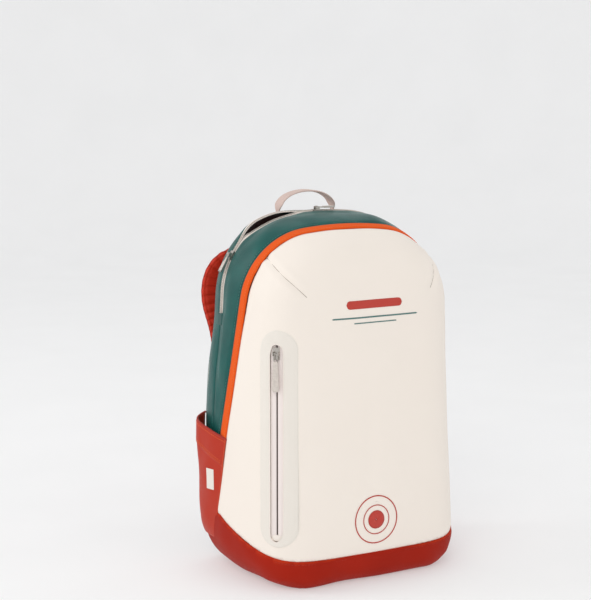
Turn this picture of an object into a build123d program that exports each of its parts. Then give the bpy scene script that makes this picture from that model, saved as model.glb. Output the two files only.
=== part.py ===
from build123d import *
from math import acos, atan2, cos, hypot, pi, radians, sin, sqrt
import os

# Racket backpack, millimetres. +Z up, floor at z = 0, the front faces -Y, the wearer's back is at +Y.
# The bag is one smooth loft of upright slices; every fabric panel is a region of the skin
# between that loft and a smaller copy of it.

os.makedirs("parts", exist_ok=True)

# ---------------------------------------------------------------- driving dimensions
SKIN = 3.0            # fabric, foam and lining together
SEAM = 0.2            # gap left along a sewn seam
BACK_Y = 108.0        # rear face of the bag
FRONT_Y = -101.0      # foremost slice

# y, lean, half width low, half width high, top, bottom, shoulder radius, bottom radius, crown radius
SLICES = [
    (BACK_Y, 0, 150, 134, 471, 17, 104, 55, 480),
    (98, 0, 160, 142, 482, 8, 108, 56, 480),
    (60, 0, 168, 150, 490, 0, 110, 54, 480),
    (20, 0, 167, 148, 484, -1, 104, 50, 500),
    (-20, 0, 160, 143, 471, -1, 92, 48, 500),
    (-55, 0.01, 150, 136, 455, -1, 82, 46, 500),
    (-80, 0.025, 134, 120, 435, 1, 72, 42, 480),
    (-94, 0.035, 112, 98, 410, 13, 60, 34, 420),
    (FRONT_Y, 0.0386, 74, 62, 367, 43, 45, 30, 400),
]

BAND_Y, BAND_LEAN, BAND_W = 62.8, 0.17, 14.0    # coloured band: front edge at z = 0, lean, width
BOOT_FRONT, BOOT_RISE, BOOT_FLAT_Y = 41, 42, 25  # base seam: height at the front, rise, level from here
BINDING_Y = 103.0     # front edge of the rear binding

ZIP_Y = 64.0          # plane of the main zip
ZIP_END_Z = 352.0     # lowest point of the main zip on each side
ZIP_SLOT = 11.0       # width of tape that shows between the panels
ZIP_GAP = 1.6         # between the two rows of teeth
TOOTH = 1.6           # width of one row of teeth
TAPE_W = 12.0         # width of one tape
MOUTH_A, MOUTH_B = (-130.0, 441.0), (-10.0, 489.7)   # ends of the open stretch, x and z
MOUTH_BACK, MOUTH_FRONT = 23.0, 6.0                  # how far each lip is pushed from the zip plane

SHOULDER_C, SHOULDER_R = (-40.0, 377.8), 110.0       # arc the left part of the main zip follows
CROWN_C, CROWN_R = (0.0, 10.0), 480.0                # arc the top part of the main zip follows

POCKET_BACK_Y = 106.0
POCKET_FABRIC = 1.8

FRONT_ZIP_TOP = Vector(-130.5, -61.8, 328)
FRONT_ZIP_LOW = Vector(-136.4, -73.1, 70.6)
FRONT_WINDOW_W, FRONT_WINDOW_V = 19.0, (-136, 132)   # slot the front zip sits in
FRONT_TRIM_S, FRONT_TRIM_V = (-24.5, 28.5), (-139, 150)
FRONT_GAP = 2.4
FRONT_SLIDER_V = 119.0
FRONT_PULL_N = 4.9    # height of the pull's cross bar over the zip

PAD_W, PAD_T = 68.0, 11.0
WEB_W, WEB_T = 25.0, 1.8
HANDLE_HALF, HANDLE_FOOT_Z, HANDLE_PEAK_Z, HANDLE_Y = 44.0, 485.4, 515.0, 101.0
HANDLE_W, HANDLE_FOOT_W, HANDLE_T = 22.0, 9.0, 2.4


# ---------------------------------------------------------------- the bag's own form
def slice_face(y, lean, low_w, high_w, top, bottom, shoulder_r, bottom_r, crown):
    """Upright slice of the bag: flat bottom, slanted sides, round shoulders, crowned top."""
    upper = (high_w - shoulder_r,
             top - crown + sqrt((crown - shoulder_r) ** 2 - (high_w - shoulder_r) ** 2))
    lower = (low_w - bottom_r, bottom + bottom_r)
    dx, dz = upper[0] - lower[0], upper[1] - lower[1]
    side = atan2(dz, dx) - acos((bottom_r - shoulder_r) / hypot(dx, dz))
    peak = atan2(upper[1] - (top - crown), upper[0])

    def on(centre, radius, angle):
        return centre[0] + radius * cos(angle), centre[1] + radius * sin(angle)

    right = [(lower[0], bottom), on(lower, bottom_r, (side - pi / 2) / 2), on(lower, bottom_r, side),
             on(upper, shoulder_r, side), on(upper, shoulder_r, (side + peak) / 2),
             on(upper, shoulder_r, peak)]
    left = [(-x, z) for x, z in right]
    edges = [
        Edge.make_line(left[0], right[0]),
        Edge.make_three_point_arc(right[0], right[1], right[2]),
        Edge.make_line(right[2], right[3]),
        Edge.make_three_point_arc(right[3], right[4], right[5]),
        Edge.make_three_point_arc(right[5], (0, top), left[5]),
        Edge.make_three_point_arc(left[5], left[4], left[3]),
        Edge.make_line(left[3], left[2]),
        Edge.make_three_point_arc(left[2], left[1], left[0]),
    ]
    upright = Plane(origin=(0, y, 0), x_dir=(1, 0, 0), z_dir=(0, -1, lean))
    return upright.location * Face(Wire(edges))


def moved_in(index, depth):
    """The figures of one slice with every face of the bag moved inwards by depth."""
    here = SLICES[index]
    before, after = SLICES[max(index - 1, 0)], SLICES[min(index + 1, len(SLICES) - 1)]
    run = after[0] - before[0]
    slope = [(b - a) / run for a, b in zip(before, after)]
    if index == 0:
        y = here[0] - depth
    else:
        y = here[0] + depth * slope[2] / sqrt(1 + slope[2] ** 2)
    shift = y - here[0]

    def inward(k, sign=1):
        return here[k] + slope[k] * shift - sign * depth * sqrt(1 + slope[k] ** 2)

    low_w, high_w, top, bottom = inward(2), inward(3), inward(4), inward(5, -1)
    return (y, here[1], low_w, high_w, top, bottom, here[6] - (here[3] - high_w),
            here[7] - (here[2] - low_w), here[8] - (here[4] - top))


FORMS = {}


def form(depth):
    """Solid bag form, every face moved inwards by depth (outwards when negative)."""
    if depth not in FORMS:
        FORMS[depth] = loft([slice_face(*moved_in(i, depth)) for i in range(len(SLICES))])
    return FORMS[depth]


def layer(outer, inner):
    return form(outer) - form(inner)


def save(name, *solids):
    shape = solids[0] if len(solids) == 1 else Compound(children=list(solids))
    export_step(shape, f"parts/{name}.step")


def box(x0, x1, y0, y1, z0, z1):
    return Pos((x0 + x1) / 2, (y0 + y1) / 2, (z0 + z1) / 2) * Box(x1 - x0, y1 - y0, z1 - z0)


def prism_yz(points, x0=-260, x1=260):
    """Prism along X whose outline is given as y, z points."""
    outline = Face(Wire.make_polygon([(x0, y, z) for y, z in points], close=True))
    return extrude(outline, amount=x1 - x0, dir=(1, 0, 0))


# ---------------------------------------------------------------- regions of the skin
def band_edge(offset):
    """Half space in front of the leaning plane through the coloured band, moved back by offset."""
    near, far = -60, 620
    return prism_yz([(-260, near), (BAND_Y + offset - BAND_LEAN * near, near),
                     (BAND_Y + offset - BAND_LEAN * far, far), (-260, far)])


def boot_region(offset):
    """Everything under the base seam, the seam moved up by offset."""
    span = BOOT_FLAT_Y + 101
    seam = [(-260.0, BOOT_FRONT - 1.0 + offset)]
    for k in range(13):
        t = k / 12
        seam.append((-101 + span * t, BOOT_FRONT + BOOT_RISE * t ** 1.4 + offset))
    seam += [(260.0, BOOT_FRONT + BOOT_RISE + offset), (260.0, -60.0), (-260.0, -60.0)]
    return prism_yz(seam)


MOUTH = Plane(
    origin=((MOUTH_A[0] + MOUTH_B[0]) / 2, 0, (MOUTH_A[1] + MOUTH_B[1]) / 2),
    x_dir=(MOUTH_B[0] - MOUTH_A[0], 0, MOUTH_B[1] - MOUTH_A[1]),
    z_dir=(MOUTH_A[1] - MOUTH_B[1], 0, MOUTH_B[0] - MOUTH_A[0]),
)
MOUTH_HALF = hypot(MOUTH_B[0] - MOUTH_A[0], MOUTH_B[1] - MOUTH_A[1]) / 2


def lip(y, push):
    """Edge of one lip of the mouth, from end to end, pushed out of the zip plane by push."""
    level = y * MOUTH.y_dir.Y
    shares = [-1, -0.6, -0.3, 0, 0.3, 0.6, 1]
    points = [(MOUTH_HALF * u, level + push * MOUTH.y_dir.Y * (1 + cos(pi * u)) / 2) for u in shares]
    return Edge.make_spline([Vector(*p) for p in points], tangents=[Vector(1, 0), Vector(1, 0)])


def zip_zone(front, back, push_front, push_back):
    """The strip between two edges that run along the main zip and open into the mouth."""
    strip = box(-260, 260, ZIP_Y - front, ZIP_Y + back, -60, 620)
    a, b = lip(ZIP_Y - front, -push_front), lip(ZIP_Y + back, push_back)
    ends = [Edge.make_line(a @ 0, b @ 0), Edge.make_line(a @ 1, b @ 1)]
    lens = MOUTH.location * Face(Wire([a, ends[1], b, ends[0]]))
    return strip + extrude(lens, amount=70, both=True)


ABOVE_ZIP_END = box(-260, 260, -260, 260, ZIP_END_Z, 620)
ABOVE_FLOOR = box(-260, 260, -260, 260, 0, 620)


# ---------------------------------------------------------------- front pocket frame of reference
zip_up = (FRONT_ZIP_TOP - FRONT_ZIP_LOW).normalized()
zip_across = Vector(0.69, -0.724, 0)
zip_across = (zip_across - zip_up * zip_across.dot(zip_up)).normalized()
FRONT = Plane(origin=(FRONT_ZIP_TOP + FRONT_ZIP_LOW) * 0.5, x_dir=zip_across,
              z_dir=zip_across.cross(zip_up))


def front_prism(s0, s1, v0, v1, corner, near=-30, far=30):
    """Round-cornered prism along the front pocket's normal."""
    plate = Pos((s0 + s1) / 2, (v0 + v1) / 2, 0) * RectangleRounded(s1 - s0, v1 - v0, corner)
    return FRONT.location * Pos(0, 0, near) * extrude(plate, amount=far - near)


def front_block(s0, s1, v0, v1, n0, n1):
    return FRONT.location * box(s0, s1, v0, v1, n0, n1)


def front_rod(radius, length, v, n):
    return FRONT.location * (Pos(0, v, n) * Rot(0, 90, 0) * Cylinder(radius, length))


# ---------------------------------------------------------------- panels
def panels():
    skin = layer(0, SKIN)
    boot_line, boot_above = boot_region(-SEAM / 2), boot_region(SEAM / 2)
    slot = zip_zone(ZIP_SLOT / 2, ZIP_SLOT / 2, MOUTH_FRONT, MOUTH_BACK + 3) & ABOVE_ZIP_END
    window = front_prism(-FRONT_WINDOW_W / 2, FRONT_WINDOW_W / 2, *FRONT_WINDOW_V, 9.4)

    front = (skin & band_edge(0)) - boot_above - window
    save("front_panel", front)
    save("front_band", (layer(-1.0, SKIN) & band_edge(BAND_W)) - band_edge(SEAM) - boot_above)
    middle = skin - band_edge(BAND_W + SEAM) - boot_above - slot
    save("front_gusset", middle & box(-260, 260, -260, ZIP_Y - SEAM / 2, 0, 620))
    save("rear_gusset", middle & box(-260, 260, ZIP_Y + SEAM / 2, BINDING_Y, 0, 620))
    rim = box(-260, 260, BINDING_Y + SEAM, BACK_Y + 0.8, 0, 620)
    hole = extrude(slice_face(BACK_Y, 0, 146.4, 130.4, 467.4, 20.6, 100.4, 51.4, 476.4), amount=30, both=True)
    save("rear_binding", (form(-1.0) & rim) - hole)
    save("base_boot", skin & boot_line & ABOVE_FLOOR & box(-260, 260, -260, BINDING_Y, 0, 620))
    save("base_board", Pos(0, 5, 4.3) * extrude(RectangleRounded(230, 120, 22), amount=3))

    back = slice_face(BACK_Y, 0, 146, 130, 467, 21, 100, 51, 476)
    save("back_panel", extrude(back, amount=-3.2, dir=(0, 1, 0)))


def main_zip():
    gap = ZIP_GAP / 2
    opening = zip_zone(gap, gap, MOUTH_FRONT - 0.5, MOUTH_BACK - 5)
    tape_zone = zip_zone(gap + TAPE_W, gap + TAPE_W, MOUTH_FRONT, MOUTH_BACK - 2) - opening
    tooth_zone = zip_zone(gap + TOOTH, gap + TOOTH, MOUTH_FRONT - 0.5, MOUTH_BACK - 5) - opening
    reach = box(-260, 260, -260, 260, ZIP_END_Z - 6, 620)
    tape = layer(SKIN + 0.1, SKIN + 1.1) & tape_zone & reach
    teeth = layer(1.3, SKIN + 0.05) & tooth_zone & ABOVE_ZIP_END
    front_side = box(-260, 260, -260, ZIP_Y, 0, 620)
    rear_side = box(-260, 260, ZIP_Y, 260, 0, 620)
    save("zip_tape_front", tape & front_side)
    save("zip_tape_rear", tape & rear_side)
    save("zip_teeth_front", teeth & front_side)
    save("zip_teeth_rear", teeth & rear_side)

    cover = layer(-1.2, -0.2) & box(-260, 260, ZIP_Y - 9, ZIP_Y + 9, ZIP_END_Z - 14, ZIP_END_Z + 5)
    save("zip_garage_left", cover & box(-260, 0, -260, 260, 0, 620))
    save("zip_garage_right", cover & box(0, 260, -260, 260, 0, 620))


def arc_block(centre, r0, r1, a0, a1, y0, y1):
    """Block bounded by two arcs about centre in the XZ plane, angles in degrees from +X."""
    def at(radius, angle):
        return Vector(centre[0] + radius * cos(radians(angle)), y0,
                      centre[1] + radius * sin(radians(angle)))

    mid = (a0 + a1) / 2
    outline = Wire([
        Edge.make_three_point_arc(at(r0, a0), at(r0, mid), at(r0, a1)),
        Edge.make_line(at(r0, a1), at(r1, a1)),
        Edge.make_three_point_arc(at(r1, a1), at(r1, mid), at(r1, a0)),
        Edge.make_line(at(r1, a0), at(r0, a0)),
    ])
    return extrude(Face(outline), amount=y1 - y0, dir=(0, 1, 0))


def main_slider(name, pull_name, centre, radius, angle, pull_side):
    """Zip slider on the arc about centre, with a flat pull on a cross bar."""
    half = 6.5 / radius * 180 / pi
    a0, a1 = angle - half, angle + half
    body = arc_block(centre, radius - 0.9, radius + 1.4, a0, a1, ZIP_Y - 4.5, ZIP_Y + 4.5)
    body += arc_block(centre, radius - 6.0, radius - 0.8, angle - half * 0.5, angle + half * 0.5,
                      ZIP_Y - 0.5, ZIP_Y + 0.5)
    body += arc_block(centre, radius - 6.6, radius - 5.0, a0, a1, ZIP_Y - 4.0, ZIP_Y + 4.0)
    for y0 in (ZIP_Y - 4.2, ZIP_Y + 3.0):
        body += arc_block(centre, radius + 1.3, radius + 5.3, angle - half * 0.4,
                          angle + half * 0.4, y0, y0 + 1.2)
    pin = (centre[0] + (radius + 4) * cos(radians(angle)), centre[1] + (radius + 4) * sin(radians(angle)))
    bar = Pos(pin[0], ZIP_Y, pin[1]) * Rot(90, 0, 0) * Cylinder(0.9, 7.6)
    save(name, body + bar)

    along = (angle + 90 * pull_side) % 360
    flat = Pos(pin[0], ZIP_Y, pin[1]) * Rot(0, -along, 0)
    tab = Pos(13, 0, 0) * Box(26, 5.4, 1.6)
    tab += Pos(19, 0, 0) * Box(16, 8.4, 2.2)
    eye = Rot(90, 0, 0) * Cylinder(2.0, 5.4)
    save(pull_name, flat * (tab + eye - Rot(90, 0, 0) * Cylinder(0.96, 12)))


# ---------------------------------------------------------------- front pocket
def front_pocket():
    trim = front_prism(*FRONT_TRIM_S, *FRONT_TRIM_V, 24.9)
    window = front_prism(-FRONT_WINDOW_W / 2, FRONT_WINDOW_W / 2, *FRONT_WINDOW_V, 9.4)
    save("front_pocket_trim", (layer(-1.0, 0) & trim) - window)

    inner = front_prism(-FRONT_WINDOW_W / 2 + 0.2, FRONT_WINDOW_W / 2 - 0.2,
                        FRONT_WINDOW_V[0] + 0.2, FRONT_WINDOW_V[1] - 0.2, 9.2)
    flaps = layer(1.3, SKIN + 0.05) & inner
    save("front_flap_left", flaps & front_block(-20, -FRONT_GAP / 2, -160, 160, -30, 30))
    save("front_flap_right", flaps & front_block(FRONT_GAP / 2, 20, -160, 160, -30, 30))

    outside = front_prism(-20, 60, -135, 140, 18, near=-60)
    inside = front_prism(-18.6, 58.6, -133.6, 138.6, 17, near=-60)
    bag = (layer(SKIN + 0.1, 9.0) & outside) - (form(SKIN) & inside) + (layer(7.8, 9.0) & inside)
    save("front_pocket_bag", bag)

    v = FRONT_SLIDER_V
    body = front_block(-4.5, 4.5, v - 8, v + 8, 0.3, 2.2)
    body += front_block(-0.6, 0.6, v - 3, v + 3, -5.8, 0.4)
    body += front_block(-4, 4, v - 7, v + 7, -6.6, -5.4)
    for s0 in (-4.2, 3.0):
        body += front_block(s0, s0 + 1.2, v - 2.5, v + 2.5, 2.1, 6.4)
    pull_n = FRONT_PULL_N
    save("front_slider", body + front_rod(0.9, 7.6, v, pull_n))

    link = front_rod(2.0, 5.4, v, pull_n)
    link += front_block(-2.7, 2.7, v - 12, v, pull_n - 0.7, pull_n + 0.7)
    save("front_pull_link", link - front_rod(0.96, 12, v, pull_n))
    tab = front_block(-5, 5, v - 50, v - 10, pull_n - 1.7, pull_n + 1.7)
    slot = front_block(-2.8, 2.8, v - 12.1, v - 9, pull_n - 0.8, pull_n + 0.8)
    save("front_pull_tab", tab - slot)


# ---------------------------------------------------------------- side pockets
def side_x(y, z):
    """Half width of the bag at y and height z on its slanted side."""
    for a, b in zip(SLICES, SLICES[1:]):
        if b[0] <= y <= a[0]:
            t = (y - a[0]) / (b[0] - a[0])
            low, high = a[2] + (b[2] - a[2]) * t, a[3] + (b[3] - a[3]) * t
            return low + (high - low) * min(max((z - 55) / 325, 0), 1)
    return SLICES[0][2]


def pocket_level(z, bulge, tuck, inset):
    """Level slice of the left pocket; bulge is how far it stands off the bag, tuck pulls it under."""
    front, back = BAND_Y - BAND_LEAN * z + inset, POCKET_BACK_Y - inset
    shape = [(0.0, 0.10), (0.3, 0.55), (0.62, 0.95), (0.86, 1.0), (1.0, 0.45)]
    points = []
    for u, share in shape:
        y = front + (back - front) * u
        points.append(Vector(-(side_x(y, z) + bulge * share - tuck - inset), y, z))
    outer = Edge.make_spline(points)
    inner = [Vector(-110, back, z), Vector(-110, front, z)]
    return Face(Wire([outer, Edge.make_line(points[-1], inner[0]), Edge.make_line(*inner),
                      Edge.make_line(inner[1], points[0])]))


def pocket_form(inset):
    levels = [(14, 4, 34), (34, 8, 14), (64, 11, 3), (110, 14, 0), (160, 14, 0), (228, 13, 0)]
    return loft([pocket_level(z, bulge, tuck, inset) for z, bulge, tuck in levels])


def side_pockets():
    hull = pocket_form(0) - form(-1.3)
    hollow = pocket_form(POCKET_FABRIC) - box(-260, 0, -260, 260, -60, 22)
    pouch = hull - hollow
    mouth = prism_yz([(-60, 160.0), (160, 238.0), (160, 400), (-60, 400)])
    pouch = pouch - mouth
    hem_low = prism_yz([(-60, 143.6), (160, 165.6), (160, 400), (-60, 400)])
    hem_high = prism_yz([(-60, 143.8), (160, 165.8), (160, 400), (-60, 400)])
    left_pocket, left_hem = pouch - hem_low, pouch & hem_high
    save("side_pocket_left", left_pocket)
    save("side_pocket_right", mirror(left_pocket, about=Plane.YZ))
    save("pocket_hem_left", left_hem)
    save("pocket_hem_right", mirror(left_hem, about=Plane.YZ))
    patch = pocket_form(-0.9) - pocket_form(-0.1)
    save("pocket_badge", patch & box(-260, -100, 51, 65, 112, 141))


# ---------------------------------------------------------------- carrying parts
def strap_loft(path, width, thickness, corner):
    """Padded strap through a list of (x, y, z) points, its flat side facing the wearer."""
    centres = [Vector(*p) for p in path]
    sections = []
    for i, c in enumerate(centres):
        run = centres[min(i + 1, len(centres) - 1)] - centres[max(i - 1, 0)]
        across = Vector(1, 0, 0) - run.normalized() * run.normalized().X
        at = Plane(origin=c, x_dir=across, z_dir=run)
        sections.append(at.location * RectangleRounded(width, thickness, corner))
    return loft(sections)


STRAP_PATH = [(-50, 121.5, 452), (-52, 129.5, 436), (-71, 142.5, 418), (-97, 152.5, 397), (-105.5, 152, 366),
              (-100, 144, 330), (-95.5, 137.5, 290), (-93.5, 133.5, 248), (-93, 129.5, 206)]
LOCK = (-91.6, 125.6, 188.0)
WEB_LOW = (-114.0, 113.2, 84.0)


def carrying_parts():
    pad = strap_loft(STRAP_PATH, PAD_W, PAD_T, 5.2)
    yoke = box(-96, 96, BACK_Y + 1.0, 114.0, 436, 458)
    web = strap_loft([(-93, 126.4, 203), LOCK, WEB_LOW], WEB_W, WEB_T, 0.8)
    pad = pad - strap_loft([(-93, 126.6, 214), (-93, 126.4, 203), LOCK], WEB_W + 0.4, WEB_T + 0.4, 0.9)

    fall = (Vector(*WEB_LOW) - Vector(*LOCK)).normalized()
    across = (Vector(1, 0, 0) - fall * fall.X).normalized()
    at = Plane(origin=LOCK, x_dir=across, z_dir=across.cross(fall))
    frame = extrude(RectangleRounded(36, 20, 4), amount=2.8, both=True)
    frame -= Box(WEB_W + 1.4, 11, 12)
    for n in (-2.1, 2.1):
        frame += Pos(0, 0, n) * Rot(0, 90, 0) * Cylinder(0.9, 30)
    lock = at.location * frame - strap_loft([(-93, 126.4, 203), LOCK, WEB_LOW], WEB_W + 0.6, WEB_T + 0.5, 0.9)

    outline = [(-136, 66), (-100, 60), (-100, 96), (-128, 92)]
    tab = extrude(Face(Wire.make_polygon([(x, BACK_Y + 1.0, z) for x, z in outline], close=True)),
                  amount=3.0, dir=(0, 1, 0))
    return pad, yoke, web, lock, tab


def straps():
    pad, yoke, web, lock, tab = carrying_parts()
    save("strap_yoke", yoke)
    for name, shape in (("strap_pad", pad), ("strap_webbing", web), ("ladder_lock", lock),
                        ("strap_anchor", tab)):
        save(f"{name}_left", shape)
        save(f"{name}_right", mirror(shape, about=Plane.YZ))


def grab_handle():
    """Webbing arch; each foot narrows to a round end that turns on the anchor patch."""
    feet = []
    rise = HANDLE_PEAK_Z - HANDLE_FOOT_Z
    sections = []
    count = 13
    for k in range(count):
        a = pi * k / (count - 1)
        x, z = -HANDLE_HALF * cos(a), HANDLE_FOOT_Z + rise * sin(a) ** 0.8
        feet.append(Vector(x, HANDLE_Y, z))
    for k, c in enumerate(feet):
        run = feet[min(k + 1, count - 1)] - feet[max(k - 1, 0)]
        share = sin(pi * k / (count - 1)) ** 0.5
        width = HANDLE_FOOT_W + (HANDLE_W - HANDLE_FOOT_W) * share
        at = Plane(origin=c, x_dir=(0, 1, 0), z_dir=run)
        sections.append(at.location * RectangleRounded(width, HANDLE_T, 1.1))
    arch = loft(sections)
    for x in (-HANDLE_HALF, HANDLE_HALF):
        arch += Pos(x, HANDLE_Y, HANDLE_FOOT_Z) * Rot(0, 90, 0) * Cylinder(HANDLE_FOOT_W / 2, HANDLE_T)
    save("grab_handle", arch)
    patch = layer(-1.0, -0.1)
    save("handle_anchor_left", patch & box(-56, -34, 93, 102.8, 440, 500))
    save("handle_anchor_right", patch & box(34, 56, 93, 102.8, 440, 500))


def back_pads():
    for name, low, high, half in (("back_pad_upper", 268, 424, 96), ("back_pad_lower", 108, 250, 104)):
        plate = Pos(0, (low + high) / 2, 0) * RectangleRounded(2 * half, high - low, 34)
        at = Plane(origin=(0, BACK_Y + 1.0, 0), x_dir=(-1, 0, 0), z_dir=(0, 1, 0))
        block = extrude(at.location * plate, amount=9)
        save(name, fillet(block.faces().sort_by(Axis.Y)[-1].edges(), 6))


panels()
main_zip()
main_slider("main_slider_left", "main_pull_left", SHOULDER_C, SHOULDER_R, 149.5, 1)
main_slider("main_slider_right", "main_pull_right", CROWN_C, CROWN_R, 90.2, -1)
front_pocket()
side_pockets()
straps()
grab_handle()
back_pads()
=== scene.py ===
"""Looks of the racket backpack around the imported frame: +Z up, the front faces -Y.

Shapes are worked out in millimetres and handed to Blender in metres. The bag is one family of
upright slices; a point on it has c (0 to 10 round the slice, from the middle of the base up the
right side, over the top at 5 and down the left) and v (millimetres from the back to the front).
"""
import math

import bmesh
import bpy
import numpy as np
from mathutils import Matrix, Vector


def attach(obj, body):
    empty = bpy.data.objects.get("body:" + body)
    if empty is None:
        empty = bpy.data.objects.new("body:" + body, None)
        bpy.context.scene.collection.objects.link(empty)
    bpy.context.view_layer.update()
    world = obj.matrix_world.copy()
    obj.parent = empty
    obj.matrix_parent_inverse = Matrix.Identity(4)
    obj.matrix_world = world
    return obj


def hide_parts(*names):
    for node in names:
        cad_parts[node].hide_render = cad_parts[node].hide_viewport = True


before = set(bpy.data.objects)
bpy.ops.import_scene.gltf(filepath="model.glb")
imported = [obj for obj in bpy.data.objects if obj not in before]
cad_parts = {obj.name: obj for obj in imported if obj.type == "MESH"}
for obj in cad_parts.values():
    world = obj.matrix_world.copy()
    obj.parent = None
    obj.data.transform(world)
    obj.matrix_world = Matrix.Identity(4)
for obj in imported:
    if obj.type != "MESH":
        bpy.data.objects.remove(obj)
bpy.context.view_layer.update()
MM = 0.001

# ------------------------------------------------------------------ the bag's form
# y, lean, half width low, half width high, top, bottom, shoulder radius, bottom radius, crown radius
SLICES = np.array([
    (108, 0, 150, 134, 471, 17, 104, 55, 480),
    (98, 0, 160, 142, 482, 8, 108, 56, 480),
    (60, 0, 168, 150, 490, 0, 110, 54, 480),
    (20, 0, 167, 148, 484, -1, 104, 50, 500),
    (-20, 0, 160, 143, 471, -1, 92, 48, 500),
    (-55, 0.01, 150, 136, 455, -1, 82, 46, 500),
    (-80, 0.025, 134, 120, 435, 1, 72, 42, 480),
    (-94, 0.035, 112, 98, 410, 13, 60, 34, 420),
    (-101, 0.0386, 74, 62, 367, 43, 45, 30, 400),
    (-103.6, 0.0386, 40, 32, 332, 76, 27, 23, 400),
    (-104.6, 0.0386, 8, 6, 298, 112, 5.5, 6, 400),
], float)
BAND_Y, BAND_LEAN, BAND_W = 62.8, 0.17, 14.0
ZIP_Y, ZIP_END_Z, BINDING_Y, BACK_Y = 64.0, 352.0, 103.0, 108.0
MOUTH_A, MOUTH_B = np.array([-130.0, 441.0]), np.array([-10.0, 489.7])
RAISE_REAR, RAISE_FRONT = 8.0, 3.0
SHOULDER_C, SHOULDER_R = np.array([-40.0, 377.8]), 110.0


def smooth(t):
    t = np.clip(t, 0, 1)
    return t * t * (3 - 2 * t)


class Spline:
    """Natural cubic spline through rows of y at x."""

    def __init__(self, x, y):
        self.x, self.y = np.asarray(x, float), np.asarray(y, float)
        n, h = len(self.x), np.diff(self.x)
        a, r = np.eye(n), np.zeros_like(self.y)
        for i in range(1, n - 1):
            a[i, i - 1:i + 2] = h[i - 1] / 6, (h[i - 1] + h[i]) / 3, h[i] / 6
            r[i] = (self.y[i + 1] - self.y[i]) / h[i] - (self.y[i] - self.y[i - 1]) / h[i - 1]
        self.m = np.linalg.solve(a, r)

    def __call__(self, t):
        t = np.asarray(t, float)
        i = np.clip(np.searchsorted(self.x, t) - 1, 0, len(self.x) - 2)
        h = self.x[i + 1] - self.x[i]
        p, q = (self.x[i + 1] - t) / h, (t - self.x[i]) / h
        if self.y.ndim > 1:
            h, p, q = h[..., None], p[..., None], q[..., None]
        return (p * self.y[i] + q * self.y[i + 1]
                + ((p ** 3 - p) * self.m[i] + (q ** 3 - q) * self.m[i + 1]) * h * h / 6)


STEPS = np.hypot(np.diff(SLICES[:, 0]), np.diff(SLICES[:, 2]))
V_AT = np.concatenate([[0], np.cumsum(STEPS)])
V_END = V_AT[-1]
FORM = Spline(V_AT, SLICES)


def surface(c, v):
    """Points of the bag's outer face, in mm."""
    c, v = np.broadcast_arrays(np.asarray(c, float) % 10.0, np.asarray(v, float))
    y, lean, w, wt, zt, zb, rt, rb, cr = np.moveaxis(FORM(v), -1, 0)
    side_sign = np.where(c <= 5, 1.0, -1.0)
    a = np.where(c <= 5, c, 10 - c)
    ux = wt - rt
    uz = zt - cr + np.sqrt(np.maximum((cr - rt) ** 2 - ux ** 2, 1e-6))
    lx, lz = w - rb, zb + rb
    dx, dz = ux - lx, uz - lz
    side = np.arctan2(dz, dx) - np.arccos(np.clip((rb - rt) / np.hypot(dx, dz), -1, 1))
    peak = np.arctan2(uz - (zt - cr), ux)
    k = np.clip(np.floor(a), 0, 4)
    t = a - k
    low = -np.pi / 2 + t * (side + np.pi / 2)
    up = side + t * (peak - side)
    top = peak + t * (np.pi / 2 - peak)
    x0, z0 = lx + rb * np.cos(side), lz + rb * np.sin(side)
    x1, z1 = ux + rt * np.cos(side), uz + rt * np.sin(side)
    x = np.select([k == 0, k == 1, k == 2, k == 3], [
        t * lx, lx + rb * np.cos(low), x0 + (x1 - x0) * t, ux + rt * np.cos(up)], cr * np.cos(top))
    z = np.select([k == 0, k == 1, k == 2, k == 3], [
        zb, lz + rb * np.sin(low), z0 + (z1 - z0) * t, uz + rt * np.sin(up)],
        zt - cr + cr * np.sin(top))
    flank = 6.5 * smooth((y - 15) / 80) * smooth((z - 120) / 90) * smooth((352 - z) / 95)
    x = x + flank * smooth((x - 90) / 50)
    point = np.stack([side_sign * x, y + lean * z, z], -1)
    share = mouth_share(point)
    behind = point[..., 1] - ZIP_Y - 18 * share
    lift = share * (RAISE_REAR * smooth((behind + 12) / 10) * np.exp(-(np.maximum(behind - 3, 0) / 17) ** 2)
                    - RAISE_FRONT * smooth((-behind - 2) / 12) * np.exp(-((behind + 18) / 20) ** 2))
    point[..., 2] += lift * smooth((point[..., 2] - 380) / 40) * 0.88
    point[..., 0] -= lift * 0.42
    return point


def normals(c, v):
    e = 0.02
    va, vb = np.clip(v - 0.6, 0, V_END), np.clip(v + 0.6, 0, V_END)
    n = np.cross(surface(c, vb) - surface(c, va), surface(c + e, v) - surface(c - e, v))
    n /= np.maximum(np.linalg.norm(n, axis=-1, keepdims=True), 1e-9)
    return -n


def solve(want, target, c, v, rounds=12):
    """c and v where want(point) takes the target's two values."""
    c, v = np.array(c, float), np.array(v, float)
    for _ in range(rounds):
        p = want(surface(c, v)) - target
        dc = (want(surface(c + 1e-3, v)) - target - p) / 1e-3
        dv = (want(surface(c, v + 0.05)) - target - p) / 0.05
        det = dc[..., 0] * dv[..., 1] - dc[..., 1] * dv[..., 0]
        det = np.where(np.abs(det) < 1e-9, 1e-9, det)
        c -= np.clip((p[..., 0] * dv[..., 1] - p[..., 1] * dv[..., 0]) / det, -0.3, 0.3)
        v -= np.clip((dc[..., 0] * p[..., 1] - dc[..., 1] * p[..., 0]) / det, -12, 12)
        v = np.clip(v, 0, V_END)
    return c, v


def v_for_y(y):
    """v of the level part of the bag, where a slice does not lean."""
    table = np.linspace(0, V_AT[4], 400)
    return np.interp(-np.asarray(y, float), -FORM(table)[:, 0], table)


# ------------------------------------------------------------------ seams, as fields in mm
def seam_height(p):
    t = np.clip((p[..., 1] + 101) / 140, 0, 1)
    return 41 + 39 * t ** 1.35


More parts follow.
